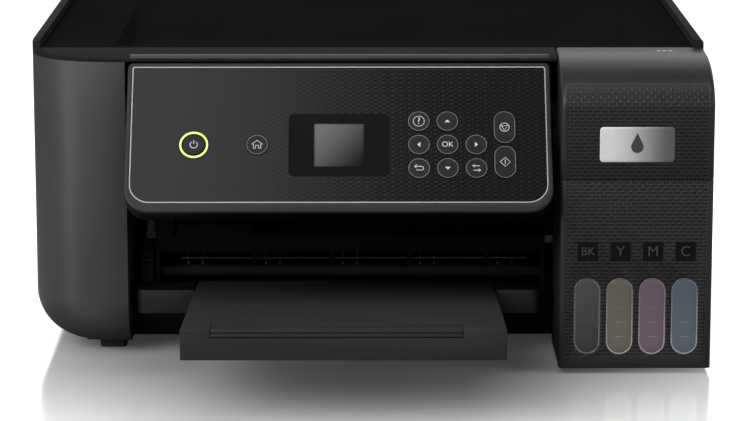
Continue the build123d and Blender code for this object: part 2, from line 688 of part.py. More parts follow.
with BuildPart() as panel_frame:
    with BuildSketch(panel_plane.offset(-panel_thickness)):
        panel_outline(0, 0, 0)
    extrude(amount=panel_thickness)
    fillet(panel_frame.faces().sort_by(Axis((0, face_y, panel_top_z), panel_plane.z_dir))[-1].edges(), 1)
    with BuildSketch(panel_plane.offset(-plate_depth - 0.1)):
        panel_outline(panel_border, panel_border_low, panel_border)
    extrude(amount=panel_thickness, mode=Mode.SUBTRACT)
    with BuildSketch(panel_plane.offset(-panel_thickness + panel_wall)):
        panel_outline(panel_border + 2, panel_border_low + 2, panel_border + 5)
    extrude(amount=panel_thickness, mode=Mode.SUBTRACT)
panel_frame.part.label = "panel_frame"
export_step(panel_frame.part, "parts/panel_frame.step")

with BuildPart() as panel_plate:
    with BuildSketch(panel_plane.offset(-plate_depth - 0.1)):
        panel_outline(panel_border + 0.2, panel_border_low + 0.2, panel_border + 0.2)
        with Locations(list(round_keys.values())):
            Circle(button_radius + button_gap, mode=Mode.SUBTRACT)
        with Locations(list(long_keys.values())):
            SlotOverall(long_key_height + 2 * button_gap, 2 * (button_radius + button_gap), rotation=90,
                        mode=Mode.SUBTRACT)
        with Locations((0, lcd_row)):
            Rectangle(lcd_width + 0.4, lcd_height + 0.4, mode=Mode.SUBTRACT)
    extrude(amount=plate_depth)
panel_plate.part.label = "panel_plate"
export_step(panel_plate.part, "parts/panel_plate.step")

with BuildPart() as lcd_screen:
    with BuildSketch(panel_plane.offset(-plate_depth - 1.6)):
        with Locations((0, lcd_row)):
            Rectangle(lcd_width + 4, lcd_height + 4)
    extrude(amount=1.5)
    with BuildSketch(panel_plane.offset(-plate_depth - 0.1)):
        with Locations((0, lcd_row)):
            Rectangle(lcd_width, lcd_height)
    extrude(amount=plate_depth - 0.4)
lcd_screen.part.label = "lcd_screen"
export_step(lcd_screen.part, "parts/lcd_screen.step")

for key_name, key_place in {**round_keys, **long_keys}.items():
    with BuildPart() as key:
        with BuildSketch(panel_plane.offset(-plate_depth - 0.3)):
            with Locations(key_place):
                if key_name in long_keys:
                    SlotOverall(long_key_height, 2 * button_radius, rotation=90)
                else:
                    Circle(button_radius)
        extrude(amount=plate_depth + 0.3 + button_proud)
        top_edges = key.faces().sort_by(Axis((0, face_y, panel_top_z), panel_plane.z_dir))[-1].edges()
        fillet(top_edges, 0.4)
        with BuildSketch(panel_plane.offset(-plate_depth - 0.3 - button_flange)):
            with Locations(key_place):
                if key_name in long_keys:
                    SlotOverall(long_key_height + 1.2, 2 * button_radius + 1.2, rotation=90)
                else:
                    Circle(button_radius + 0.6)
        extrude(amount=button_flange)
    key.part.label = key_name
    export_step(key.part, f"parts/{key_name}.step")

# ---------------------------------------------------------------- paper rollers, gears and star wheels
tooth_out = 0.75
tooth_in = 1.1
tooth_tip = 0.7
tooth_root = 1.75


def gear_sketch(teeth, turned):
    """A spur gear's face: tooth number 0 points along the sketch's x axis when turned is 0."""
    pitch_radius = gear_module * teeth / 2
    root_radius = pitch_radius - tooth_in * gear_module
    tip_radius = pitch_radius + tooth_out * gear_module
    Circle(root_radius)
    with PolarLocations(0, teeth, start_angle=turned):
        Polygon((root_radius - 0.5, -tooth_root / 2), (tip_radius, -tooth_tip / 2),
                (tip_radius, tooth_tip / 2), (root_radius - 0.5, tooth_root / 2), align=None)


def gear(x0, y, z, teeth, turned, bore):
    """A spur gear with its axis along X."""
    with BuildPart() as wheel:
        with BuildSketch(Plane(origin=(x0, y, z), x_dir=(0, 1, 0), z_dir=(1, 0, 0))):
            gear_sketch(teeth, turned)
            Circle(bore, mode=Mode.SUBTRACT)
        extrude(amount=gear_width)
    return wheel.part


roller_left_x = gear_x - 1.0
roller_right_x = right_bracket_x + bracket + 1.0
sleeve_width = 20.0
sleeve_count = 5
sleeve_span = right_bracket_x - left_bracket_x - 2 * sleeve_width
sleeve_starts = [left_bracket_x + 12 + number * (sleeve_span / (sleeve_count - 1))
                 for number in range(sleeve_count)]

feed_gear = gear(gear_x, feed_y, roller_z, feed_teeth, 0, roller_shaft_radius)
with BuildPart() as feed_roller:
    rod(roller_left_x, roller_right_x, feed_y, roller_z, roller_shaft_radius)
    rod(left_bracket_x + 3, right_bracket_x - 3, feed_y, roller_z, feed_sleeve_radius)
feed_node = Compound(label="feed_roller", children=[feed_roller.part, feed_gear])
export_step(feed_node, "parts/feed_roller.step")

eject_gear = gear(gear_x, eject_y, roller_z, feed_teeth, 0, roller_shaft_radius)
with BuildPart() as eject_roller:
    rod(roller_left_x, roller_right_x, eject_y, roller_z, roller_shaft_radius)
    for sleeve_x in sleeve_starts:
        rod(sleeve_x, sleeve_x + sleeve_width - 4, eject_y, roller_z, eject_sleeve_radius)
eject_node = Compound(label="eject_roller", children=[eject_roller.part, eject_gear])
export_step(eject_node, "parts/eject_roller.step")

idler_gear = gear(gear_x, y_at(idler_depth), roller_z, idler_teeth, 180 / idler_teeth,
                  idler_pin_radius + running_clearance)
idler_gear.label = "idler_gear"
export_step(idler_gear, "parts/idler_gear.step")

motor_shaft_radius = 1.5
motor_y = y_at(motor_depth)
with BuildPart() as motor_pinion:
    with BuildSketch(Plane(origin=(gear_x, motor_y, roller_z), x_dir=(0, 1, 0), z_dir=(1, 0, 0))):
        gear_sketch(pinion_teeth, 180 / pinion_teeth)
    extrude(amount=gear_width)
    rod(gear_x, left_bracket_x + 8, motor_y, roller_z, motor_shaft_radius)
motor_pinion.part.label = "motor_pinion"
export_step(motor_pinion.part, "parts/motor_pinion.step")

with BuildPart() as feed_motor:
    rod(left_bracket_x, left_bracket_x + motor_length, motor_y, roller_z, motor_radius)
    rod(left_bracket_x - 1, left_bracket_x + 9, motor_y, roller_z,
        motor_shaft_radius + running_clearance, Mode.SUBTRACT)
feed_motor.part.label = "feed_motor"
export_step(feed_motor.part, "parts/feed_motor.step")

star_z = roller_z + eject_sleeve_radius + star_gap + star_radius
holder_low_z = bracket_top_z + 1.5
holder_high_z = 61.0
holder_front_y = y_at(80)
holder_back_y = y_at(100)
hanger_xs = [start - 4.0 for start in sleeve_starts[1:]]
with BuildPart() as star_wheel_holder:
    block(left_bracket_x - bracket, right_bracket_x + bracket, holder_front_y, holder_back_y,
          holder_low_z, holder_high_z)
    block(left_bracket_x - bracket, left_bracket_x, holder_front_y, holder_back_y - 2, bracket_top_z,
          holder_low_z)
    block(right_bracket_x, right_bracket_x + bracket, holder_front_y, holder_back_y - 2, bracket_top_z,
          holder_low_z)
    for hanger_x in hanger_xs:
        block(hanger_x, hanger_x + 3, eject_y - 3, eject_y + 5, star_z - 2.2, holder_low_z)
    for hanger_x in hanger_xs:
        rod(hanger_x - 1, hanger_x + 4, eject_y, star_z, star_shaft_radius + running_clearance,
            Mode.SUBTRACT)
    # end tab and front rib
    block(left_bracket_x - bracket, left_bracket_x + 8, holder_front_y, holder_front_y + 3,
          holder_high_z, holder_high_z + 11)
    block(left_bracket_x + 10, left_bracket_x + 52, holder_front_y, holder_front_y + 3,
          holder_high_z, holder_high_z + 6)
star_wheel_holder.part.label = "star_wheel_holder"
export_step(star_wheel_holder.part, "parts/star_wheel_holder.step")

with BuildPart() as star_wheels:
    rod(sleeve_starts[0], sleeve_starts[-1] + sleeve_width, eject_y, star_z, star_shaft_radius)
    for sleeve_x in sleeve_starts:
        for offset in (3.5, 11.5):
            with BuildSketch(Plane(origin=(sleeve_x + offset, eject_y, star_z), x_dir=(0, 1, 0),
                                   z_dir=(1, 0, 0))):
                Circle(star_radius - 1)
                with PolarLocations(0, 12):
                    Polygon((star_radius - 1.5, -0.6), (star_radius, 0), (star_radius - 1.5, 0.6),
                            align=None)
            extrude(amount=1)
star_wheels.part.label = "star_wheels"
export_step(star_wheels.part, "parts/star_wheels.step")

platen_front_y = y_at(98)
platen_back_y = y_at(160)
with BuildPart() as platen:
    block(left_bracket_x + 1, right_bracket_x - 1, platen_front_y, platen_back_y, 36, 40.5)
    rib_count = 12
    rib_pitch = (right_bracket_x - left_bracket_x - 20) / (rib_count - 1)
    for number in range(rib_count):
        rib_x = left_bracket_x + 9 + number * rib_pitch
        block(rib_x, rib_x + 2, platen_front_y, platen_back_y, 40.5, 43)
platen.part.label = "platen"
export_step(platen.part, "parts/platen.step")

# ---------------------------------------------------------------- print carriage and its drive
park_right_x = half_width - carriage_park_gap
park_left_x = park_right_x - carriage_width
rod_left_x = -half_width + 30.0
rod_right_x = half_width - 12.0
pulley_x = half_width - 22.5
post_x = -half_width + 42.5
with BuildPart() as carriage:
    block(park_left_x, park_right_x, y_at(112), y_at(166), carriage_bottom_z, 104)
    fillet(carriage.edges().filter_by(Axis.Z), 4)
    block(park_left_x + 3, park_right_x - 3, y_at(116), y_at(162), 70, 105, Mode.SUBTRACT)
    block(park_left_x + 8, park_right_x - 8, y_at(164), y_at(190), 74, 96)
    rod(park_left_x, park_right_x, rail_y, rail_z, rail_radius + running_clearance, Mode.SUBTRACT)
carriage.part.label = "carriage"
export_step(carriage.part, "parts/carriage.step")

with BuildPart() as print_head:
    block(park_left_x + 8, park_right_x - 8, y_at(122), y_at(156), 47.5, carriage_bottom_z)
print_head.part.label = "print_head"
export_step(print_head.part, "parts/print_head.step")

with BuildPart() as carriage_rod:
    rod(rod_left_x, rod_right_x, rail_y, rail_z, rail_radius)
carriage_rod.part.label = "carriage_rod"
export_step(carriage_rod.part, "parts/carriage_rod.step")

with BuildPart() as carriage_beam:
    block(rod_left_x, rod_right_x, beam_y, beam_y + 2, 60, 124)
    block(rod_left_x, rod_right_x, beam_y, beam_y + 12, 60, 62)
    for ear_x in (rod_left_x, rod_right_x - 3):
        block(ear_x, ear_x + 3, y_at(172), beam_y, 76, 94)
    rod(rod_left_x - 1, rod_right_x + 1, rail_y, rail_z, rail_radius, Mode.SUBTRACT)
    with BuildSketch(Plane.XZ.offset(-(beam_y - 8.0))):
        with Locations((post_x, belt_z)):
            Circle(pulley_radius)
    extrude(amount=-8)
    with BuildSketch(Plane.XZ.offset(-(beam_y - 2))):
        with Locations((pulley_x, belt_z)):
            Circle(4)
    extrude(amount=-6, mode=Mode.SUBTRACT)
carriage_beam.part.label = "carriage_beam"
export_step(carriage_beam.part, "parts/carriage_beam.step")

with BuildPart() as carriage_motor:
    with BuildSketch(Plane.XZ.offset(-(beam_y + 2))):
        with Locations((pulley_x, belt_z)):
            Circle(14)
            Circle(motor_shaft_radius + running_clearance, mode=Mode.SUBTRACT)
    extrude(amount=-30)
carriage_motor.part.label = "carriage_motor"
export_step(carriage_motor.part, "parts/carriage_motor.step")

with BuildPart() as drive_pulley:
    with BuildSketch(Plane.XZ.offset(-(beam_y - 8.5))):
        with Locations((pulley_x, belt_z)):
            Circle(pulley_radius)
    extrude(amount=-7.5)
    with BuildSketch(Plane.XZ.offset(-(beam_y - 8.5))):
        with Locations((pulley_x, belt_z)):
            Circle(motor_shaft_radius)
    extrude(amount=-24)
drive_pulley.part.label = "drive_pulley"
export_step(drive_pulley.part, "parts/drive_pulley.step")

belt_inner = pulley_radius + belt_gap
with BuildPart() as carriage_belt:
    with BuildSketch(Plane.XZ.offset(-(beam_y - 7.5))):
        with Locations(((pulley_x + post_x) / 2, belt_z)):
            SlotCenterToCenter(pulley_x - post_x, 2 * (belt_inner + belt_thickness))
            SlotCenterToCenter(pulley_x - post_x, 2 * belt_inner, mode=Mode.SUBTRACT)
    extrude(amount=-belt_width)
carriage_belt.part.label = "carriage_belt"
export_step(carriage_belt.part, "parts/carriage_belt.step")

with BuildPart() as maintenance_station:
    station_left_x = right_bracket_x + bracket + 4
    block(station_left_x, park_right_x, y_at(116), y_at(160), base_floor_z, 46.3)
    block(station_left_x + 8, park_right_x - 10, y_at(122), y_at(154), 42, 47, Mode.SUBTRACT)
maintenance_station.part.label = "maintenance_station"
export_step(maintenance_station.part, "parts/maintenance_station.step")

# ---------------------------------------------------------------- rear feeder
hopper_top = (slot_front_y + slot_length - 0.5, body_top_z - 1)
hopper_run = 63.0
hopper_drop = 116.0
hopper_angle = degrees(atan(hopper_run / hopper_drop))
hopper_thickness = 2.5
pickup_radius = 13.0
pickup_shaft_radius = 3.0
pickup_gap = 1.0
hopper_foot = (hopper_top[0] - hopper_run, hopper_top[1] - hopper_drop)
lean = radians(hopper_angle)
axis_back = 18.0              # pickup axis, measured up the hopper from its foot
pickup_y = hopper_foot[0] + axis_back * sin(lean) - (pickup_radius + pickup_gap) * cos(lean)
pickup_z = hopper_foot[1] + axis_back * cos(lean) + (pickup_radius + pickup_gap) * sin(lean)

with BuildPart() as hopper:
    with BuildSketch(Plane.YZ.offset(-slot_half_width)):
        Polygon(hopper_top, hopper_foot,
                (hopper_foot[0] + hopper_thickness, hopper_foot[1]),
                (hopper_top[0] + hopper_thickness, hopper_top[1]), align=None)
    extrude(amount=2 * slot_half_width)
    for ear_x in (-48, 45):
        with BuildSketch(Plane.YZ.offset(ear_x)):
            Polygon((pickup_y - 6, pickup_z + 6), (pickup_y - 6, pickup_z - 6),
                    (hopper_foot[0] + 1, hopper_foot[1]),
                    (hopper_foot[0] + 36 * sin(lean) + 1, hopper_foot[1] + 36 * cos(lean)), align=None)
        extrude(amount=3)
    rod(-50, 50, pickup_y, pickup_z, pickup_shaft_radius + running_clearance, Mode.SUBTRACT)
    for leg_x in (-slot_half_width, slot_half_width - 3):
        block(leg_x, leg_x + 3, hopper_foot[0], hopper_foot[0] + 12, base_floor_z, hopper_foot[1] + 4)
hopper.part.label = "hopper"
export_step(hopper.part, "parts/hopper.step")

with BuildPart() as pickup_roller:
    rod(-50, 50, pickup_y, pickup_z, pickup_shaft_radius)
    rod(-20, 20, pickup_y, pickup_z, pickup_radius)
pickup_roller.part.label = "pickup_roller"
export_step(pickup_roller.part, "parts/pickup_roller.step")

guide_thickness = 4.0
guide_height = 22.0
sheet_half_width = 105.5
guide_gap = 1.0
guide_front_y = slot_front_y + 1.5
for guide_name, guide_side in (("edge_guide_left", -1), ("edge_guide_right", 1)):
    inner_x = guide_side * sheet_half_width
    outer_x = guide_side * (sheet_half_width + guide_thickness)
    low_back = hopper_top[0] - (guide_height - 3) * sin(lean) / cos(lean)
    with BuildPart() as edge_guide:
        with BuildSketch(Plane.YZ.offset(min(inner_x, outer_x))):
            Polygon((guide_front_y, hopper_top[1] + 3), (hopper_top[0] - guide_gap, hopper_top[1] + 3),
                    (hopper_top[0] - guide_gap, hopper_top[1]),
                    (low_back - guide_gap, hopper_top[1] + 3 - guide_height),
                    (guide_front_y, hopper_top[1] + 3 - guide_height), align=None)
        extrude(amount=guide_thickness)
    edge_guide.part.label = guide_name
    export_step(edge_guide.part, f"parts/{guide_name}.step")

support_lean = 8.0
support_thickness = 3.0
support_length = 105.0
support_top_y = rear_y - support_slot_back + support_slot / 2
support_plane = Plane(origin=(0, support_top_y, deck_z + 0.2), x_dir=(1, 0, 0),
                      z_dir=(0, -cos(radians(support_lean)), sin(radians(support_lean))))
with BuildPart() as paper_support:
    with BuildSketch(support_plane.offset(-support_thickness / 2)):
        with Locations((0, -support_length / 2 + 1.5)):
            RectangleRounded(2 * support_half_width, support_length, 4)
    extrude(amount=support_thickness)
    block(-30, 30, support_top_y - 3, support_top_y + 4, deck_z + 0.3, closed_height - 0.8)
paper_support.part.label = "paper_support"
export_step(paper_support.part, "parts/paper_support.step")

with BuildPart() as feeder_cover:
    block(-slot_half_width - 3, slot_half_width + 3, deck_front_y + 1, slot_front_y + slot_length + 2,
          deck_z + 0.3, closed_height)
    fillet(feeder_cover.faces().sort_by(Axis.Z)[-1].edges(), 1)
feeder_cover.part.label = "feeder_cover"
export_step(feeder_cover.part, "parts/feeder_cover.step")

# ---------------------------------------------------------------- electronics
with BuildPart() as main_board:
    block(-60, usb_x + 12, rear_y - 24.0, rear_y - 22.4, 16, 62)
    block(usb_x - usb_width / 2 + 0.5, usb_x + usb_width / 2 - 0.5, rear_y - 22.4, rear_y - 0.5,
          usb_z - usb_height / 2 + 0.5, usb_z + usb_height / 2 - 0.5)
    block(usb_x - 4, usb_x + 4, rear_y - 9, rear_y, usb_z - 3.5, usb_z + 3.5, Mode.SUBTRACT)
    for chip_x in (-40, -10, 30, 60):
        block(chip_x, chip_x + 16, rear_y - 26.5, rear_y - 24.0, 40, 56)
main_board.part.label = "main_board"
export_step(main_board.part, "parts/main_board.step")

with BuildPart() as power_supply:
    block(inlet_x - 18, inlet_x + 18, rear_y - 130, rear_y - 24, base_floor_z + 1, 50)
    block(inlet_x - inlet_width / 2 + 0.4, inlet_x + inlet_width / 2 - 0.4, rear_y - 24, rear_y - 0.4,
          inlet_z - inlet_height / 2 + 0.4, inlet_z + inlet_height / 2 - 0.4)
    with BuildSketch(Plane.XZ.offset(-(rear_y))):
        with Locations((inlet_x, inlet_z)):
            SlotOverall(20, 12)
    extrude(amount=14, mode=Mode.SUBTRACT)
    with BuildSketch(Plane.XZ.offset(-(rear_y - 15))):
        with Locations((inlet_x - 4, inlet_z), (inlet_x + 4, inlet_z)):
            Circle(1.2)
    extrude(amount=-10)
power_supply.part.label = "power_supply"
export_step(power_supply.part, "parts/power_supply.step")
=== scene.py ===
"""Looks of the ink-tank printer: finishes, trim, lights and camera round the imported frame.

Metres, +Z up, the front faces -Y. Trim is placed from the frame's nodes where they give the place.
"""

import logging
import math
from dataclasses import dataclass
from enum import Enum

import bmesh
import bpy
from mathutils import Matrix, Vector


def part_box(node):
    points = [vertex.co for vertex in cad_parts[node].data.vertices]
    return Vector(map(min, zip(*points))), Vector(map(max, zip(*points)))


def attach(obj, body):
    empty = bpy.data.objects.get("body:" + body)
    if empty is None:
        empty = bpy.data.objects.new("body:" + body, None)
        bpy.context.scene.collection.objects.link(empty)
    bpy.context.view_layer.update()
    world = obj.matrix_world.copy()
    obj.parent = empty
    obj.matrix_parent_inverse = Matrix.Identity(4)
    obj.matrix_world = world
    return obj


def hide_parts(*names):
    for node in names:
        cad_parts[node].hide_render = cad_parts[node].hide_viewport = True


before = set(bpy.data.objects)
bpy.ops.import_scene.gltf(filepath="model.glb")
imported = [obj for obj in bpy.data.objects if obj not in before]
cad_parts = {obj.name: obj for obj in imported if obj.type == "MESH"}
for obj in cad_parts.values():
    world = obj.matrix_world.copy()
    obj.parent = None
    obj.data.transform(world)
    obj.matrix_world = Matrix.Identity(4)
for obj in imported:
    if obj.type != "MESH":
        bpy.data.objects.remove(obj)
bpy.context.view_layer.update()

LOG = logging.getLogger("printer")
MM = 0.001
PANEL_TILT = math.radians(36.0)
PANEL_LENGTH = 90.0 * MM
PANEL_THICKNESS = 11.0 * MM
DASH_DEPTH = 0.22 * MM
RIDGE_DEPTH = 0.16 * MM
SHARP_EDGE = math.radians(32.0)
Color = tuple[float, float, float]
Loop = list[tuple[float, float]]


class Pattern(Enum):
    """Moulded pattern that lies over a finish, or painted shade behind the panel frame's rim."""

    PLAIN = "plain"
    DASHES = "dashes"
    DIAMONDS = "diamonds"
    PAINTED_SHADE_BEHIND_RIM = "painted_shade_behind_rim"


# ---------------------------------------------------------------- node trees
class Graph:
    """Short calls for building a shader or geometry node tree."""

    def __init__(self, tree: bpy.types.NodeTree) -> None:
        """Keeps the tree that the calls add to."""
        self.tree = tree

    def add(self, kind: str, feeds: dict[object, object] | None = None, **settings: object) -> bpy.types.Node:
        """Adds a node.

        Args:
            kind: The node's type name.
            feeds: Values or sockets for its inputs, by the input's name or number.
            settings: Properties of the node.

        Returns:
            The new node.
        """
        node = self.tree.nodes.new(kind)
        for key, value in settings.items():
            setattr(node, key, value)
        for key, value in (feeds or {}).items():
            self.feed(node.inputs[key], value)
        return node

    def feed(self, socket: bpy.types.NodeSocket, value: object) -> None:
        """Links a socket into an input, or sets the input's own value.

        Args:
            socket: The input.
            value: A socket, or a plain value.
        """
        if isinstance(value, bpy.types.NodeSocket):
            self.tree.links.new(value, socket)
        else:
            socket.default_value = value

    def math(self, operation: str, first: object, second: object = None,
             third: object = None) -> bpy.types.NodeSocket:
        """Adds a Math node.

        Args:
            operation: The Math node's operation.
            first: A number or a socket.
            second: A number or a socket, where the operation has one.
            third: A number or a socket, where the operation has one.

        Returns:
            The node's result.
        """
        node = self.add("ShaderNodeMath", operation=operation)
        for socket, value in zip(node.inputs, (first, second, third)):
            if value is not None:
                self.feed(socket, value)
        return node.outputs[0]

    def ramp(self, value: object, low: float, high: float, out_low: float = 0.0,
             out_high: float = 1.0) -> bpy.types.NodeSocket:
        """Maps a value smoothly from one range to another.

        Args:
            value: The number to map.
            low: Where the range starts.
            high: Where the range ends.
            out_low: Result at the start.
            out_high: Result at the end.

        Returns:
            The mapped value.
        """
        feeds = dict(enumerate((value, low, high, out_low, out_high)))
        return self.add("ShaderNodeMapRange", feeds, interpolation_type="SMOOTHSTEP").outputs[0]

    def blend(self, share: object, first: object, second: object) -> bpy.types.NodeSocket:
        """Mixes two colours.

        Args:
            share: How much of the second colour shows.
            first: Colour or socket.
            second: Colour or socket.

        Returns:
            The mixed colour.
        """
        color_first, color_second, color_result = 6, 7, 2
        node = self.add("ShaderNodeMix", data_type="RGBA")
        self.feed(node.inputs[0], share)
        self.feed(node.inputs[color_first], first)
        self.feed(node.inputs[color_second], second)
        return node.outputs[color_result]

    def place(self) -> bpy.types.NodeSocket:
        """Object coordinates, which are metres in the printer's own frame."""
        return self.add("ShaderNodeTexCoord").outputs["Object"]

    def split(self, vector: bpy.types.NodeSocket) -> list[bpy.types.NodeSocket]:
        """The X, Y and Z of a vector."""
        return list(self.add("ShaderNodeSeparateXYZ", {0: vector}).outputs)

    def flat(self, across: object, up: object) -> bpy.types.NodeSocket:
        """The vector of a pattern's plane, from its two directions."""
        return self.add("ShaderNodeCombineXYZ", {0: across, 1: up}).outputs[0]

    def along(self, vector: bpy.types.NodeSocket, direction: object) -> bpy.types.NodeSocket:
        """How far a vector goes along a direction."""
        node = self.add("ShaderNodeVectorMath", {0: vector, 1: direction}, operation="DOT_PRODUCT")
        return node.outputs["Value"]

    def off_middle(self, value: object) -> bpy.types.NodeSocket:
        """Distance of a number from the middle between its two whole numbers."""
        return self.math("ABSOLUTE", self.math("SUBTRACT", self.math("FRACT", value), 0.5))

    def group(self, tree: bpy.types.NodeTree, **values: object) -> bpy.types.Node:
        """Places a node group and fills its inputs by name.

        Args:
            tree: The group's tree.
            values: Inputs, with underscores for the spaces of their names.

        Returns:
            The group node.
        """
        node = self.add("ShaderNodeGroup", node_tree=tree)
        for key, value in values.items():
            self.feed(node.inputs[key.replace("_", " ")], value)
        return node


def new_group(name: str, inputs: dict[str, float],
              outputs: tuple[str, ...]) -> tuple[Graph, bpy.types.Node, bpy.types.Node]:
    """Starts a shader node group with a Vector input, number inputs and number outputs.

    Args:
        name: The group's name.
        inputs: Number inputs and their defaults.
        outputs: Number outputs.

    Returns:
        The graph, its input node and its output node.
    """
    tree = bpy.data.node_groups.new(name, "ShaderNodeTree")
    tree.interface.new_socket(name="Vector", in_out="INPUT", socket_type="NodeSocketVector")
    for key, value in inputs.items():
        socket = tree.interface.new_socket(name=key, in_out="INPUT", socket_type="NodeSocketFloat")
        socket.default_value = value
    for key in outputs:
        tree.interface.new_socket(name=key, in_out="OUTPUT", socket_type="NodeSocketFloat")
    graph = Graph(tree)
    return graph, graph.add("NodeGroupInput"), graph.add("NodeGroupOutput")


def grain_group() -> bpy.types.NodeTree:
    """Fine moulded grain with broad, faint patches.

    Returns:
        The group, with outputs Height and Patches.
    """
    graph, given, out = new_group("moulded_grain", {"Grain": 1400.0}, ("Height", "Patches"))
    place = given.outputs["Vector"]
    fine = graph.add("ShaderNodeTexNoise", {"Vector": place, "Scale": given.outputs["Grain"], "Detail": 2.0})
    broad = graph.add("ShaderNodeTexNoise", {"Vector": place, "Scale": 14.0, "Detail": 4.0})
    graph.feed(out.inputs["Height"], fine.outputs["Fac"])
    graph.feed(out.inputs["Patches"], graph.ramp(broad.outputs["Fac"], 0.35, 0.65))
    return graph.tree


def dashes_group() -> bpy.types.NodeTree:
    """Rows of short dashes, each row set off by half a dash.

    Returns:
        The group, with output Dash.
    """
    graph, given, out = new_group("offset_dashes", {"Column": 0.0042, "Row": 0.00195}, ("Dash",))
    right, up, _ = graph.split(given.outputs["Vector"])
    rows = graph.math("DIVIDE", up, given.outputs["Row"])
    odd = graph.math("MULTIPLY", graph.math("FLOORED_MODULO", graph.math("FLOOR", rows), 2.0), 0.5)
    columns = graph.math("ADD", graph.math("DIVIDE", right, given.outputs["Column"]), odd)
    inside = graph.math("MULTIPLY", graph.ramp(graph.off_middle(columns), 0.47, 0.33),
                        graph.ramp(graph.off_middle(rows), 0.44, 0.2))
    graph.feed(out.inputs["Dash"], inside)
    return graph.tree


def diamonds_group() -> bpy.types.NodeTree:
    """Two crossing sets of fine ridges that leave small diamonds.

    Returns:
        The group, with output Ridge.
    """
    graph, given, out = new_group("crossed_ridges", {"Column": 0.0046, "Row": 0.0026}, ("Ridge",))
    right, up, _ = graph.split(given.outputs["Vector"])
    across = graph.math("DIVIDE", right, given.outputs["Column"])
    up = graph.math("DIVIDE", up, given.outputs["Row"])
    rising, falling = (graph.ramp(graph.off_middle(graph.math(turn, across, up)), 0.28, 0.46)
                       for turn in ("ADD", "SUBTRACT"))
    rows = graph.ramp(graph.off_middle(up), 0.4, 0.5, 0.0, 0.8)
    graph.feed(out.inputs["Ridge"], graph.math("MAXIMUM", graph.math("MAXIMUM", rising, falling), rows))
    return graph.tree


GRAIN = grain_group()
DASHES = dashes_group()
DIAMONDS = diamonds_group()


# ---------------------------------------------------------------- finishes
def scaled(color: Color, factor: float) -> tuple[float, float, float, float]:
    """The colour with each channel multiplied, as RGBA."""
    return tuple(min(1.0, channel * factor) for channel in color) + (1.0,)


def fresh_material(name: str) -> tuple[bpy.types.Material, Graph, bpy.types.Node]:
    """An empty material with one Principled shader.

    Args:
        name: The material's name.

    Returns:
        The material, its graph and its Principled node.
    """
    material = bpy.data.materials.new(name)
    material.use_nodes = True
    material.node_tree.nodes.clear()
    graph = Graph(material.node_tree)
    shader = graph.add("ShaderNodeBsdfPrincipled")
    output = graph.add("ShaderNodeOutputMaterial")
    graph.tree.links.new(shader.outputs[0], output.inputs[0])
    return material, graph, shader


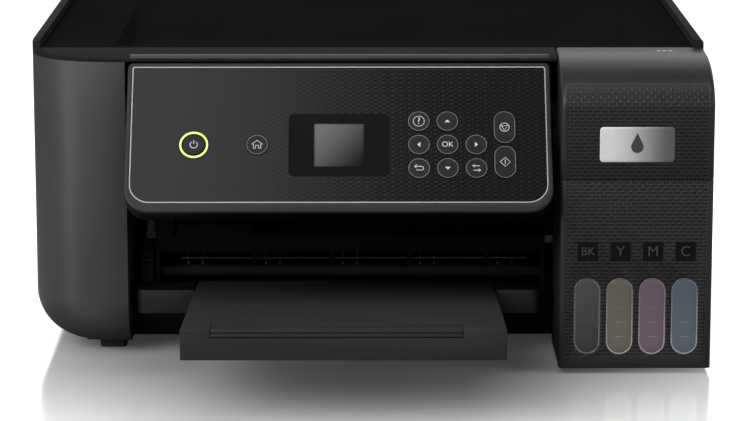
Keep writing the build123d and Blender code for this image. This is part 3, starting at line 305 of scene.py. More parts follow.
@dataclass(frozen=True)
class Plastic:
    """A moulded plastic or rubber.

    Attributes are the material's name, its slot, colour, roughness, grains per metre, grain depth in
    metres, how much the patches change the colour, specular level and moulded pattern or painted shade.
    """

    name: str
    slot: str
    color: Color
    roughness: float = 0.5
    grain: float = 1400.0
    depth: float = 0.00003
    tint: float = 0.05
    specular: float = 0.4
    pattern: Pattern = Pattern.PLAIN

    def build(self) -> bpy.types.Material:
        """Makes the material.

        Returns:
            The material, with its pattern where it has one.
        """
        material, graph, shader = fresh_material(self.name)
        place = graph.place()
        grain = graph.group(GRAIN, Vector=place, Grain=self.grain)
        patches = grain.outputs["Patches"]
        color = graph.blend(patches, scaled(self.color, 1 - self.tint), scaled(self.color, 1 + self.tint))
        height = graph.math("MULTIPLY", grain.outputs["Height"], self.depth)
        rough = graph.ramp(patches, 0.0, 1.0, self.roughness - 0.015, self.roughness + 0.015)
        if self.pattern is Pattern.DASHES:
            color, height, rough = self._dashes(graph, place, color, height, rough)
        elif self.pattern is Pattern.DIAMONDS:
            color, height, rough = self._diamonds(graph, place, color, height, rough)
        elif self.pattern is Pattern.PAINTED_SHADE_BEHIND_RIM:
            # painted shade: near black behind the panel frame's front rim
            color = self._painted_shade_behind_rim(graph, place, color)
        bump = graph.add("ShaderNodeBump", {"Distance": 1.0, "Height": height})
        graph.feed(shader.inputs["Base Color"], color)
        graph.feed(shader.inputs["Roughness"], rough)
        graph.feed(shader.inputs["Normal"], bump.outputs[0])
        shader.inputs["Specular IOR Level"].default_value = self.specular
        return material

    def _dashes(self, graph: Graph, place: object, color: object, height: object, rough: object) -> tuple:
        """Adds sunk dashes between the smooth side and bottom borders of the tank unit.

        Args:
            graph: The material's graph.
            place: Object coordinates.
            color: The plain colour.
            height: The plain grain's height.
            rough: The plain roughness.

        Returns:
            Colour, height and roughness with the dashes in them.
        """
        low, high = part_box("tank_front_panel")
        border, border_end = 2.8 * MM, 3.8 * MM
        across, _, up = graph.split(place)
        dash = graph.group(DASHES, Vector=graph.flat(across, up)).outputs["Dash"]
        for edge in (graph.ramp(across, low.x + border, low.x + border_end),
                     graph.ramp(across, high.x - border, high.x - border_end),
                     graph.ramp(up, low.z + 6.2 * MM, low.z + 7.2 * MM),
                     graph.ramp(up, high.z + 54 * MM, high.z + 47 * MM)):
            dash = graph.math("MULTIPLY", dash, edge)
        color = graph.blend(graph.math("MULTIPLY", dash, 0.8), color, scaled(self.color, 0.25))
        height = graph.math("ADD", height, graph.math("MULTIPLY", dash, -DASH_DEPTH))
        return color, height, graph.math("ADD", rough, graph.math("MULTIPLY", dash, 0.12))

    def _painted_shade_behind_rim(self, graph: Graph, place: object, color: object) -> object:
        """Painted shade: darkens what lies behind the panel's front rim.

        Args:
            graph: The material's graph.
            place: Object coordinates.
            color: The rim's colour.

        Returns:
            The colour, with painted shade near black behind the rim.
        """
        normal = Vector((0, -math.cos(PANEL_TILT), math.sin(PANEL_TILT)))
        points = [vertex.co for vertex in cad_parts["panel_frame"].data.vertices]
        front = max(point.dot(normal) for point in points)
        behind = graph.ramp(graph.along(place, normal), front - 1.6 * MM, front - 2.4 * MM)
        return graph.blend(behind, color, scaled(self.color, 0.08))

    def _diamonds(self, graph: Graph, place: object, color: object, height: object, rough: object) -> tuple:
        """Adds crossed ridges that fade out towards the panel's left, and a painted highlight towards the
        left.

        Args:
            graph: The material's graph.
            place: Object coordinates.
            color: The plain colour.
            height: The plain grain's height.
            rough: The plain roughness, which stays.

        Returns:
            Colour with the ridges and the painted highlight, height and roughness with the ridges in them.
        """
        low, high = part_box("panel_plate")
        width = high.x - low.x
        across, back, rise = graph.split(place)
        up = graph.math("ADD", graph.math("MULTIPLY", back, math.sin(PANEL_TILT)),
                        graph.math("MULTIPLY", rise, math.cos(PANEL_TILT)))
        ridge = graph.group(DIAMONDS, Vector=graph.flat(across, up)).outputs["Ridge"]
        strength = graph.ramp(across, low.x + 0.1 * width, low.x + 0.75 * width)
        ridge = graph.math("MULTIPLY", ridge, strength)
        # painted highlight: the face is up to 2.9 times lighter towards its left edge
        shade = graph.ramp(across, low.x, high.x, 1.0, 0.0)
        color = graph.blend(shade, color, scaled(self.color, 2.9))
        color = graph.blend(graph.math("MULTIPLY", ridge, 0.95), color, scaled(self.color, 0.06))
        return color, graph.math("SUBTRACT", height, graph.math("MULTIPLY", ridge, RIDGE_DEPTH)), rough


@dataclass(frozen=True)
class Metal:
    """Brushed or plated metal, with streaks along X.

    Attributes are the material's name, its slot, colour, roughness and how much the streaks change it.
    """

    name: str
    slot: str
    color: Color
    roughness: float = 0.3
    streaks: float = 0.12

    def build(self) -> bpy.types.Material:
        """Makes the material.

        Returns:
            The material.
        """
        material, graph, shader = fresh_material(self.name)
        mapping = graph.add("ShaderNodeMapping", {"Vector": graph.place(), "Scale": (30.0, 900.0, 900.0)})
        grain = graph.group(GRAIN, Vector=mapping.outputs[0], Grain=1.5)
        height = grain.outputs["Height"]
        graph.feed(shader.inputs["Roughness"], graph.ramp(height, 0.3, 0.7, self.roughness - self.streaks,
                                                          self.roughness + self.streaks))
        graph.feed(shader.inputs["Base Color"], graph.blend(height, scaled(self.color, 0.8),
                                                            scaled(self.color, 1.1)))
        shader.inputs["Metallic"].default_value = 1.0
        return material


@dataclass(frozen=True)
class Shaded:
    """A gloss part whose colour runs between two tones along a direction.

    Attributes are the name, slot, both tones, the direction, the two ends measured along it, roughness,
    emission strength, how much it is a metal foil, and specular level. On the display, the silver plate
    and the ink windows the two tones paint reflection and shading.
    """

    name: str
    slot: str
    first: Color
    last: Color
    direction: tuple[float, float, float]
    start: float
    end: float
    roughness: float = 0.25
    glow: float = 0.0
    metallic: float = 0.0
    specular: float = 0.5

    def build(self) -> bpy.types.Material:
        """Makes the material.

        Returns:
            The material.
        """
        material, graph, shader = fresh_material(self.name)
        place = graph.place()
        share = graph.ramp(graph.along(place, self.direction), self.start, self.end)
        grain = graph.group(GRAIN, Vector=place, Grain=500.0)
        color = graph.blend(share, scaled(self.first, 1.0), scaled(self.last, 1.0))
        graph.feed(shader.inputs["Base Color"], color)
        graph.feed(shader.inputs["Roughness"], graph.ramp(grain.outputs["Height"], 0.2, 0.8,
                                                          self.roughness, self.roughness + 0.08))
        shader.inputs["Metallic"].default_value = self.metallic
        shader.inputs["Specular IOR Level"].default_value = self.specular
        if self.glow:
            graph.feed(shader.inputs["Emission Color"], color)
            shader.inputs["Emission Strength"].default_value = self.glow
        return material


@dataclass(frozen=True)
class ClearGlass:
    """Float glass with a faint green body."""

    name: str
    slot: str
    color: Color

    def build(self) -> bpy.types.Material:
        """Makes the material.

        Returns:
            The material.
        """
        material, graph, shader = fresh_material(self.name)
        grain = graph.group(GRAIN, Vector=graph.place(), Grain=60.0)
        graph.feed(shader.inputs["Roughness"], graph.ramp(grain.outputs["Patches"], 0.0, 1.0, 0.01, 0.03))
        shader.inputs["Base Color"].default_value = scaled(self.color, 1.0)
        shader.inputs["Transmission Weight"].default_value = 1.0
        shader.inputs["IOR"].default_value = 1.5
        return material


COVER = Plastic("cover_plastic", "cover_black", (0.033, 0.033, 0.0334), 0.42, depth=0.00002, specular=0.25)
LID = Plastic("lid_plastic", "lid_black", (0.0075, 0.0075, 0.0077), 0.6, depth=0.00002, specular=0.0)
BEZEL = Plastic("bezel_plastic", "cover_black", (0.013, 0.013, 0.0132), 0.5, depth=0.00002, specular=0.01)
BASE = Plastic("base_plastic", "base_black", (0.0028, 0.0028, 0.0029), 0.6, specular=0.08)
STUB = Plastic("fascia_plastic", "base_black", (0.015, 0.015, 0.0152), 0.45, specular=0.15)
TRAY = Plastic("tray_plastic", "tray_dark", (0.026, 0.026, 0.0263), 0.48, specular=0.02)
TANK = Plastic("tank_unit_plastic", "tank_black", (0.016, 0.016, 0.0163), 0.38, specular=0.26,
               pattern=Pattern.DASHES)
# The panel frame's material paints shade near black behind its front rim.
PANEL_EDGE = Plastic("panel_frame_plastic", "panel_edge", (0.022, 0.022, 0.0225), 0.36, depth=0.00001,
                     specular=0.12, pattern=Pattern.PAINTED_SHADE_BEHIND_RIM)
# The panel face's material paints a highlight that lightens it towards the left.
PANEL_FACE = Plastic("panel_face_plastic", "panel_face", (0.0085, 0.0085, 0.0086), 0.42, depth=0.00001,
                     specular=0.08, pattern=Pattern.DIAMONDS)
KEY = Plastic("key_plastic", "key_black", (0.0075, 0.0075, 0.0077), 0.38, depth=0.00001, specular=0.2)
PRINT = Plastic("key_print_ink", "key_print", (0.50, 0.50, 0.51), 0.6, depth=0.00001, specular=0.3)
FINE_PRINT = Plastic("key_ring_print", "key_print", (0.17, 0.17, 0.172), 0.6, depth=0.00001, specular=0.3)
# Light grey that paints the highlight of the edge round the panel face.
BORDER_HIGHLIGHT = Plastic("border_painted_highlight", "trim_light", (0.34, 0.34, 0.345), 0.35, depth=0.00001)
STRIP = Plastic("front_strip_plastic", "trim_light", (0.050, 0.050, 0.051), 0.4, depth=0.00002,
                specular=0.3)
LABEL = Plastic("ink_label_plastic", "label_print", (0.0035, 0.0035, 0.0036), 0.3, depth=0.00001,
                specular=0.1)
LABEL_MARK = Plastic("ink_letter_print", "label_print", (0.034, 0.034, 0.035), 0.5, depth=0.00001)
WHITE_MARK = Plastic("white_bar_colour", "label_print", (0.55, 0.55, 0.55), 0.6, depth=0.00001)
SCREEN_FRAME = Plastic("screen_frame_gloss", "screen_bezel", (0.004, 0.004, 0.0045), 0.2, depth=0.000005,
                       specular=0.12)
RESIN = Plastic("tank_resin_plastic", "tank_resin", (0.30, 0.29, 0.28), 0.25, depth=0.00001)
CAP = Plastic("cap_rubber", "cap_soft", (0.04, 0.04, 0.042), 0.7)
RUBBER = Plastic("foot_rubber", "rubber_black", (0.012, 0.012, 0.012), 0.85, grain=2400.0)
GRIP = Plastic("roller_rubber_grip", "roller_rubber", (0.012, 0.012, 0.0123), 0.8, grain=2400.0,
               specular=0.1)
ACETAL = Plastic("gear_acetal", "gear_white", (0.62, 0.61, 0.57), 0.4)
BELT = Plastic("belt_rubber_black", "belt_rubber", (0.01, 0.01, 0.01), 0.8)
FOAM = Plastic("pad_foam", "pad_white", (0.72, 0.72, 0.70), 0.85, grain=700.0, depth=0.00012)
BOARD = Plastic("board_mask", "board_green", (0.01, 0.09, 0.045), 0.3, tint=0.3)
SUPPLY = Plastic("supply_plastic", "supply_case", (0.012, 0.012, 0.013), 0.5)
STEEL = Metal("ground_steel", "steel", (0.55, 0.55, 0.56), 0.25)
DARK_STEEL = Metal("oiled_steel", "steel", (0.05, 0.05, 0.053), 0.42)
SHEET = Metal("zinc_sheet", "sheet_steel", (0.30, 0.30, 0.31), 0.4)
MOTOR = Metal("motor_can", "motor_case", (0.30, 0.30, 0.31), 0.35)
GLASS = ClearGlass("flatbed_glass", "glass", (0.86, 0.93, 0.91))
RING = Shaded("power_ring_lime", "key_ring", (0.50, 0.70, 0.10), (0.58, 0.78, 0.16), (0.0, 0.0, 1.0),
              0.0, 0.2, 0.4, glow=0.55)

NODE_FINISHES = {
    COVER: ("left_cover", "right_cover", "rear_cover"),
    BEZEL: ("scanner_bezel", "feeder_cover"),
    LID: ("document_cover",),
    BASE: ("base_tray", "scanner_tub", "scan_bar", "star_wheel_holder", "platen", "carriage",
           "maintenance_station", "hopper"),
    TRAY: ("tray_main", "tray_extension", "tray_stopper", "edge_guide_left", "edge_guide_right",
           "paper_support"),
    TANK: ("tank_front_panel", "tank_cover"),
    PANEL_EDGE: ("panel_frame",),
    PANEL_FACE: ("panel_plate",),
    KEY: tuple(f"button_{key}" for key in ("power", "home", "help", "up", "left", "ok", "right", "back",
                                           "down", "settings", "stop", "start")),
    RESIN: ("ink_tanks",),
    CAP: ("tank_cap_black", "tank_cap_yellow", "tank_cap_magenta", "tank_cap_cyan"),
    RUBBER: ("rubber_feet",),
    GRIP: ("feed_roller", "eject_roller", "pickup_roller"),
    ACETAL: ("idler_gear", "drive_pulley"),
    BELT: ("carriage_belt",),
    FOAM: ("lid_pad",),
    BOARD: ("main_board",),
    SUPPLY: ("power_supply",),
    STEEL: ("motor_pinion",),
    DARK_STEEL: ("carriage_rod", "star_wheels"),
    SHEET: ("carriage_beam", "print_head"),
    MOTOR: ("feed_motor", "carriage_motor"),
    GLASS: ("scan_glass",),
}
_materials: dict[str, bpy.types.Material] = {}


def material_of(finish: object) -> bpy.types.Material:
    """Looks up a finish's material, and makes it the first time.

    Args:
        finish: The finish.

    Returns:
        The material.
    """
    if finish.name not in _materials:
        _materials[finish.name] = finish.build()
    return _materials[finish.name]


# ---------------------------------------------------------------- meshes
def link(name: str, mesh: bpy.types.Mesh) -> bpy.types.Object:
    """Puts a mesh in the scene as an object at the origin.

    Args:
        name: The object's name.
        mesh: Its mesh.

    Returns:
        The object.
    """
    piece = bpy.data.objects.new(name, mesh)
    bpy.context.scene.collection.objects.link(piece)
    return piece


def dress(piece: bpy.types.Object, finish: object, body: str) -> bpy.types.Object:
    """Gives a piece its finish and ties it to a body.

    Args:
        piece: The finished piece.
        finish: Its finish.
        body: The body that it rides on.

    Returns:
        The piece.
    """
    piece.data.materials.clear()
    piece.data.materials.append(material_of(finish))
    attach(piece, body)
    LOG.info("%s rides on %s with %s", piece.name, body, finish.name)
    return piece


def paint(node: str, finish: object) -> None:
    """Gives a CAD node its finish.

    Args:
        node: The CAD node.
        finish: Its finish.
    """
    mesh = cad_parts[node].data
    mesh.materials.clear()
    mesh.materials.append(material_of(finish))


def baked(piece: bpy.types.Object) -> bpy.types.Object:
    """Applies an object's modifiers and smooths the faces that meet gently.

    Args:
        piece: The object, which is replaced.

    Returns:
        A new object at the origin with a plain mesh.
    """
    bpy.context.view_layer.update()
    evaluated = piece.evaluated_get(bpy.context.evaluated_depsgraph_get())
    mesh = bpy.data.meshes.new_from_object(evaluated)
    name = piece.name
    bpy.data.objects.remove(piece)
    mesh.name = name
    mesh.shade_smooth()
    mesh.set_sharp_from_angle(angle=SHARP_EDGE)
    return link(name, mesh)


def softened(node: str, width: float) -> bpy.types.Object:
    """A copy of a CAD node with welded faces and rounded edges.

    Args:
        node: The CAD node.
        width: Width of the rounded edges.

    Returns:
        The copy, with a plain mesh.
    """
    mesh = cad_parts[node].data.copy()
    form = bmesh.new()
    form.from_mesh(mesh)
    bmesh.ops.remove_doubles(form, verts=form.verts, dist=1e-6)
    bmesh.ops.dissolve_limit(form, angle_limit=math.radians(0.4), verts=form.verts, edges=form.edges)
    form.to_mesh(mesh)
    form.free()
    piece = link(f"{node}_shell", mesh)
    bevel = piece.modifiers.new("edges", "BEVEL")
    bevel.width = width
    bevel.segments = 2
    bevel.limit_method = "ANGLE"
    bevel.angle_limit = math.radians(40)
    bevel.use_clamp_overlap = True
    bevel.harden_normals = False
    return baked(piece)


def circle(radius: float, center: tuple[float, float] = (0.0, 0.0), points: int = 48) -> Loop:
    """Points of a circle.

    Args:
        radius: Its radius.
        center: Its middle.
        points: How many points.

    Returns:
        The outline, anticlockwise.
    """
    turn = 2 * math.pi / points
    return [(center[0] + radius * math.cos(turn * step), center[1] + radius * math.sin(turn * step))
            for step in range(points)]


def rounded_box(left: float, right: float, low: float, high: float, radii: tuple[float, float]) -> Loop:
    """Points of a rectangle with rounded corners.

    Args:
        left: Left side.
        right: Right side.
        low: Lower side.
        high: Upper side.
        radii: Radius of the lower corners and of the upper corners.

    Returns:
        The outline, anticlockwise.
    """
    below, above = radii
    corners = ((right - below, low + below, below, -90), (right - above, high - above, above, 0),
               (left + above, high - above, above, 90), (left + below, low + below, below, 180))
    steps = 8
    return [(x + r * math.cos(math.radians(start + 90 * step / steps)),
             y + r * math.sin(math.radians(start + 90 * step / steps)))
            for x, y, r, start in corners for step in range(steps + 1)]


def arc(radius: float, start: float, end: float, center: tuple[float, float] = (0.0, 0.0),
        steps: int = 18) -> Loop:
    """Points of an arc.

    Args:
        radius: Its radius.
        start: Where it starts, in degrees.
        end: Where it ends, in degrees.
        center: Its middle.
        steps: How many steps it has.

    Returns:
        The path.
    """
    turns = [math.radians(start + (end - start) * step / steps) for step in range(steps + 1)]
    return [(center[0] + radius * math.cos(turn), center[1] + radius * math.sin(turn)) for turn in turns]


def in_metres(path: Loop) -> Loop:
    """A path given in millimetres, in metres."""
    return [(x * MM, y * MM) for x, y in path]


def plate(name: str, loops: list[Loop], thickness: float, place: Matrix,
          bevel: float = 0.0) -> bpy.types.Object:
    """A flat piece from closed outlines, where an outline inside another is a hole.

    Args:
        name: The piece's name.
        loops: Outlines in metres.
        thickness: Its thickness, upward from the place's plane.
        place: Where the outlines' plane lies.
        bevel: Rounding of its edges.

    Returns:
        The piece.
    """
    curve = bpy.data.curves.new(name, "CURVE")
    curve.dimensions = "2D"
    curve.fill_mode = "BOTH"
    curve.extrude = max(thickness / 2 - bevel, 1e-6)
    curve.bevel_depth = bevel
    curve.bevel_resolution = 2
    curve.offset = -bevel
    for loop in loops:
        spline = curve.splines.new("POLY")
        spline.points.add(len(loop) - 1)
        for point, (x, y) in zip(spline.points, loop):
            point.co = (x, y, 0.0, 1.0)
        spline.use_cyclic_u = True
    return settled(name, curve, place @ Matrix.Translation((0, 0, thickness / 2)))


def settled(name: str, data: bpy.types.ID, place: Matrix) -> bpy.types.Object:
    """Makes a curve or a text a welded mesh and moves its points to their place.

    Args:
        name: The piece's name.
        data: Curve or text data.
        place: Where it goes.

    Returns:
        The piece, with its normals outward.
    """
    draft = bpy.data.objects.new(f"{name}_draft", data)
    bpy.context.scene.collection.objects.link(draft)
    bpy.context.view_layer.update()
    mesh = bpy.data.meshes.new_from_object(draft.evaluated_get(bpy.context.evaluated_depsgraph_get()))
    bpy.data.objects.remove(draft)
    form = bmesh.new()
    form.from_mesh(mesh)
    bmesh.ops.remove_doubles(form, verts=form.verts, dist=1e-7)
    bmesh.ops.recalc_face_normals(form, faces=form.faces)
    form.to_mesh(mesh)
    form.free()
    mesh.transform(place)
    mesh.name = name
    mesh.materials.clear()
    mesh.shade_smooth()
    mesh.set_sharp_from_angle(angle=SHARP_EDGE)
    return link(name, mesh)


def strokes(name: str, paths: list[Loop], width: float, place: Matrix,
            closed: bool = False) -> bpy.types.Object:
    """Thin rounded lines that lie half sunk in a face.

    Args:
        name: The piece's name.
        paths: The lines' points.
        width: Width of the lines.
        place: Where the lines' plane lies.
        closed: Whether the lines close on themselves.

    Returns:
        The piece.
    """
    curve = bpy.data.curves.new(name, "CURVE")
    curve.dimensions = "3D"
    curve.bevel_depth = width / 2
    curve.bevel_resolution = 1
    curve.use_fill_caps = True
    for path in paths:
        spline = curve.splines.new("POLY")
        spline.points.add(len(path) - 1)
        for point, (x, y) in zip(spline.points, path):
            point.co = (x, y, 0.0, 1.0)
        spline.use_cyclic_u = closed
    return settled(name, curve, place @ Matrix.Diagonal((1.0, 1.0, 0.45, 1.0)))


def lettering(name: str, words: str, size: float, place: Matrix) -> bpy.types.Object:
    """Raised generic letters, centred on their place.

    Args:
        name: The piece's name.
        words: The letters.
        size: Height of the type.
        place: Where the letters' plane lies.

    Returns:
        The piece.
    """
    text = bpy.data.curves.new(name, "FONT")
    text.body = words
    text.size = size
    text.align_x = "CENTER"
    text.align_y = "CENTER"
    text.extrude = 0.05 * MM
    return settled(name, text, place)


def upright(center: Vector) -> Matrix:
    """Plane that faces the front, with x to the right and y up."""
    return Matrix.Translation(center) @ Matrix.Rotation(math.pi / 2, 4, "X")


@dataclass
class Row:
    """Equal parts in a straight row, made by geometry nodes.

    Attributes are the piece's name, how many there are, the first one's middle, the step between
    two, each one's size and whether they are round studs.
    """

    name: str
    count: int
    start: Vector
    step: Vector
    size: Vector
    round: bool = False

    def build(self, finish: object, body: str) -> bpy.types.Object:
        """Makes the row as one plain mesh.

        Args:
            finish: The row's finish.
            body: The body that it rides on.

        Returns:
            The piece.
        """
        tree = bpy.data.node_groups.new(f"{self.name}_row", "GeometryNodeTree")
        for key, kind in (("Count", "NodeSocketInt"), ("Start", "NodeSocketVector"),
                          ("Step", "NodeSocketVector"), ("Size", "NodeSocketVector"),
                          ("Finish", "NodeSocketMaterial")):
            tree.interface.new_socket(name=key, in_out="INPUT", socket_type=kind)
        tree.interface.new_socket(name="Geometry", in_out="OUTPUT", socket_type="NodeSocketGeometry")
        graph = Graph(tree)
        given = graph.add("NodeGroupInput")
        line = graph.add("GeometryNodeMeshLine", {
            "Count": given.outputs["Count"], "Start Location": given.outputs["Start"],
            "Offset": given.outputs["Step"]})
        each = graph.add("GeometryNodeInstanceOnPoints", {
            "Points": line.outputs["Mesh"], "Instance": self._shape(graph), "Scale": given.outputs["Size"]})
        real = graph.add("GeometryNodeRealizeInstances", {0: each.outputs[0]})
        painted = graph.add("GeometryNodeSetMaterial", {
            "Geometry": real.outputs[0], "Material": given.outputs["Finish"]})
        graph.add("NodeGroupOutput", {0: painted.outputs[0]})
        piece = link(self.name, bpy.data.meshes.new(self.name))
        modifier = piece.modifiers.new("row", "NODES")
        modifier.node_group = tree
        values = {"Count": self.count, "Start": self.start, "Step": self.step, "Size": self.size,
                  "Finish": material_of(finish)}
        for item in tree.interface.items_tree:
            if item.in_out == "INPUT":
                modifier[item.identifier] = values[item.name]
        piece.update_tag()
        return dress(baked(piece), finish, body)

    def _shape(self, graph: Graph) -> bpy.types.NodeSocket:
        """One part of unit size, along Y: a round stud, or a bar with blunt corners.

        Args:
            graph: The row's graph.

        Returns:
            The part's geometry.
        """
        sides = 20 if self.round else 8
        stud = graph.add("GeometryNodeMeshCylinder", {"Vertices": sides, "Radius": 0.5, "Depth": 1.0})
        turned = graph.add("GeometryNodeTransform", {
            "Geometry": stud.outputs["Mesh"], "Rotation": (math.pi / 2, 0.0, 0.0)})
        return turned.outputs[0]


# ---------------------------------------------------------------- sub-assemblies
@dataclass
class Casing:
    """Outer covers, lid and tray: each CAD shell with rounded edges in its finish."""

    edge: float = 0.45 * MM
    fascia_depth: float = 3.0 * MM
    fascia_low: float = 18.0 * MM
    strip_z: float = 168.1 * MM
    strip_height: float = 3.1 * MM
    strip_depth: float = 2.2 * MM
    vent_count: int = 18
    vent_pitch: float = 6.2 * MM
    vent_size: tuple[float, float] = (2.4 * MM, 26.0 * MM)
    screw_pitch: float = 120.0 * MM
    screw_width: float = 6.5 * MM
    relief: float = 0.5 * MM

    def build(self) -> None:
        """Replaces each visible shell by a softened copy."""
        shells = {
            "case": (("left_cover", COVER), ("right_cover", COVER), ("rear_cover", COVER),
                     ("tank_front_panel", TANK), ("base_tray", BASE), ("rubber_feet", RUBBER)),
            "scanner_unit": (("scanner_bezel", BEZEL),),
            "lid": (("document_cover", LID),),
            "tank_lid": (("tank_cover", TANK),),
            "tray": (("tray_main", TRAY),),
            "tray_slide": (("tray_extension", TRAY),),
            "paper_stop": (("tray_stopper", TRAY),),
            "feeder_flap": (("feeder_cover", BEZEL),),
            "support": (("paper_support", TRAY),),
            "panel": (("panel_frame", PANEL_EDGE),),
        }
        for body, rows in shells.items():
            for node, finish in rows:
                piece = softened(node, self.edge)
                dress(piece, finish, body)
                if node == "base_tray":
                    self._fascia(piece)
                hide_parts(node)
        self._front_strip()
        self._rear_details()

    def _fascia(self, piece: bpy.types.Object) -> None:
        """Gives the front blocks beside the tray a lighter and smoother plastic than the rest of the base.

        Args:
            piece: The base's shell.
        """
        low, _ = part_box("base_tray")
        piece.data.materials.append(material_of(STUB))
        for face in piece.data.polygons:
            if face.center.y < low.y + self.fascia_depth and face.center.z > low.z + self.fascia_low:
                face.material_index = 1

    def _front_strip(self) -> None:
        """Light strip along the top of the control panel's gap."""
        low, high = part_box("panel_frame")
        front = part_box("scanner_bezel")[0].y
        loop = rounded_box(low.x + MM, high.x - 0.3 * MM, 0.0, self.strip_height, (0.5 * MM, 0.9 * MM))
        place = upright(Vector((0, front + self.strip_depth, self.strip_z)))
        dress(plate("front_strip", [loop], self.strip_depth, place, 0.5 * MM), STRIP, "scanner_unit")

    def _rear_details(self) -> None:
        """Vents and screws on the back, flush with it."""
        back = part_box("rear_cover")[1].y - self.relief / 2
        width, height = self.vent_size
        Row("rear_vents", self.vent_count, Vector((-70 * MM, back, 120 * MM)),
            Vector((self.vent_pitch, 0, 0)), Vector((width, self.relief, height))).build(BASE, "case")
        Row("rear_screws", 3, Vector((-self.screw_pitch, back, 150 * MM)), Vector((self.screw_pitch, 0, 0)),
            Vector((self.screw_width, self.relief, self.screw_width)), round=True).build(STEEL, "case")


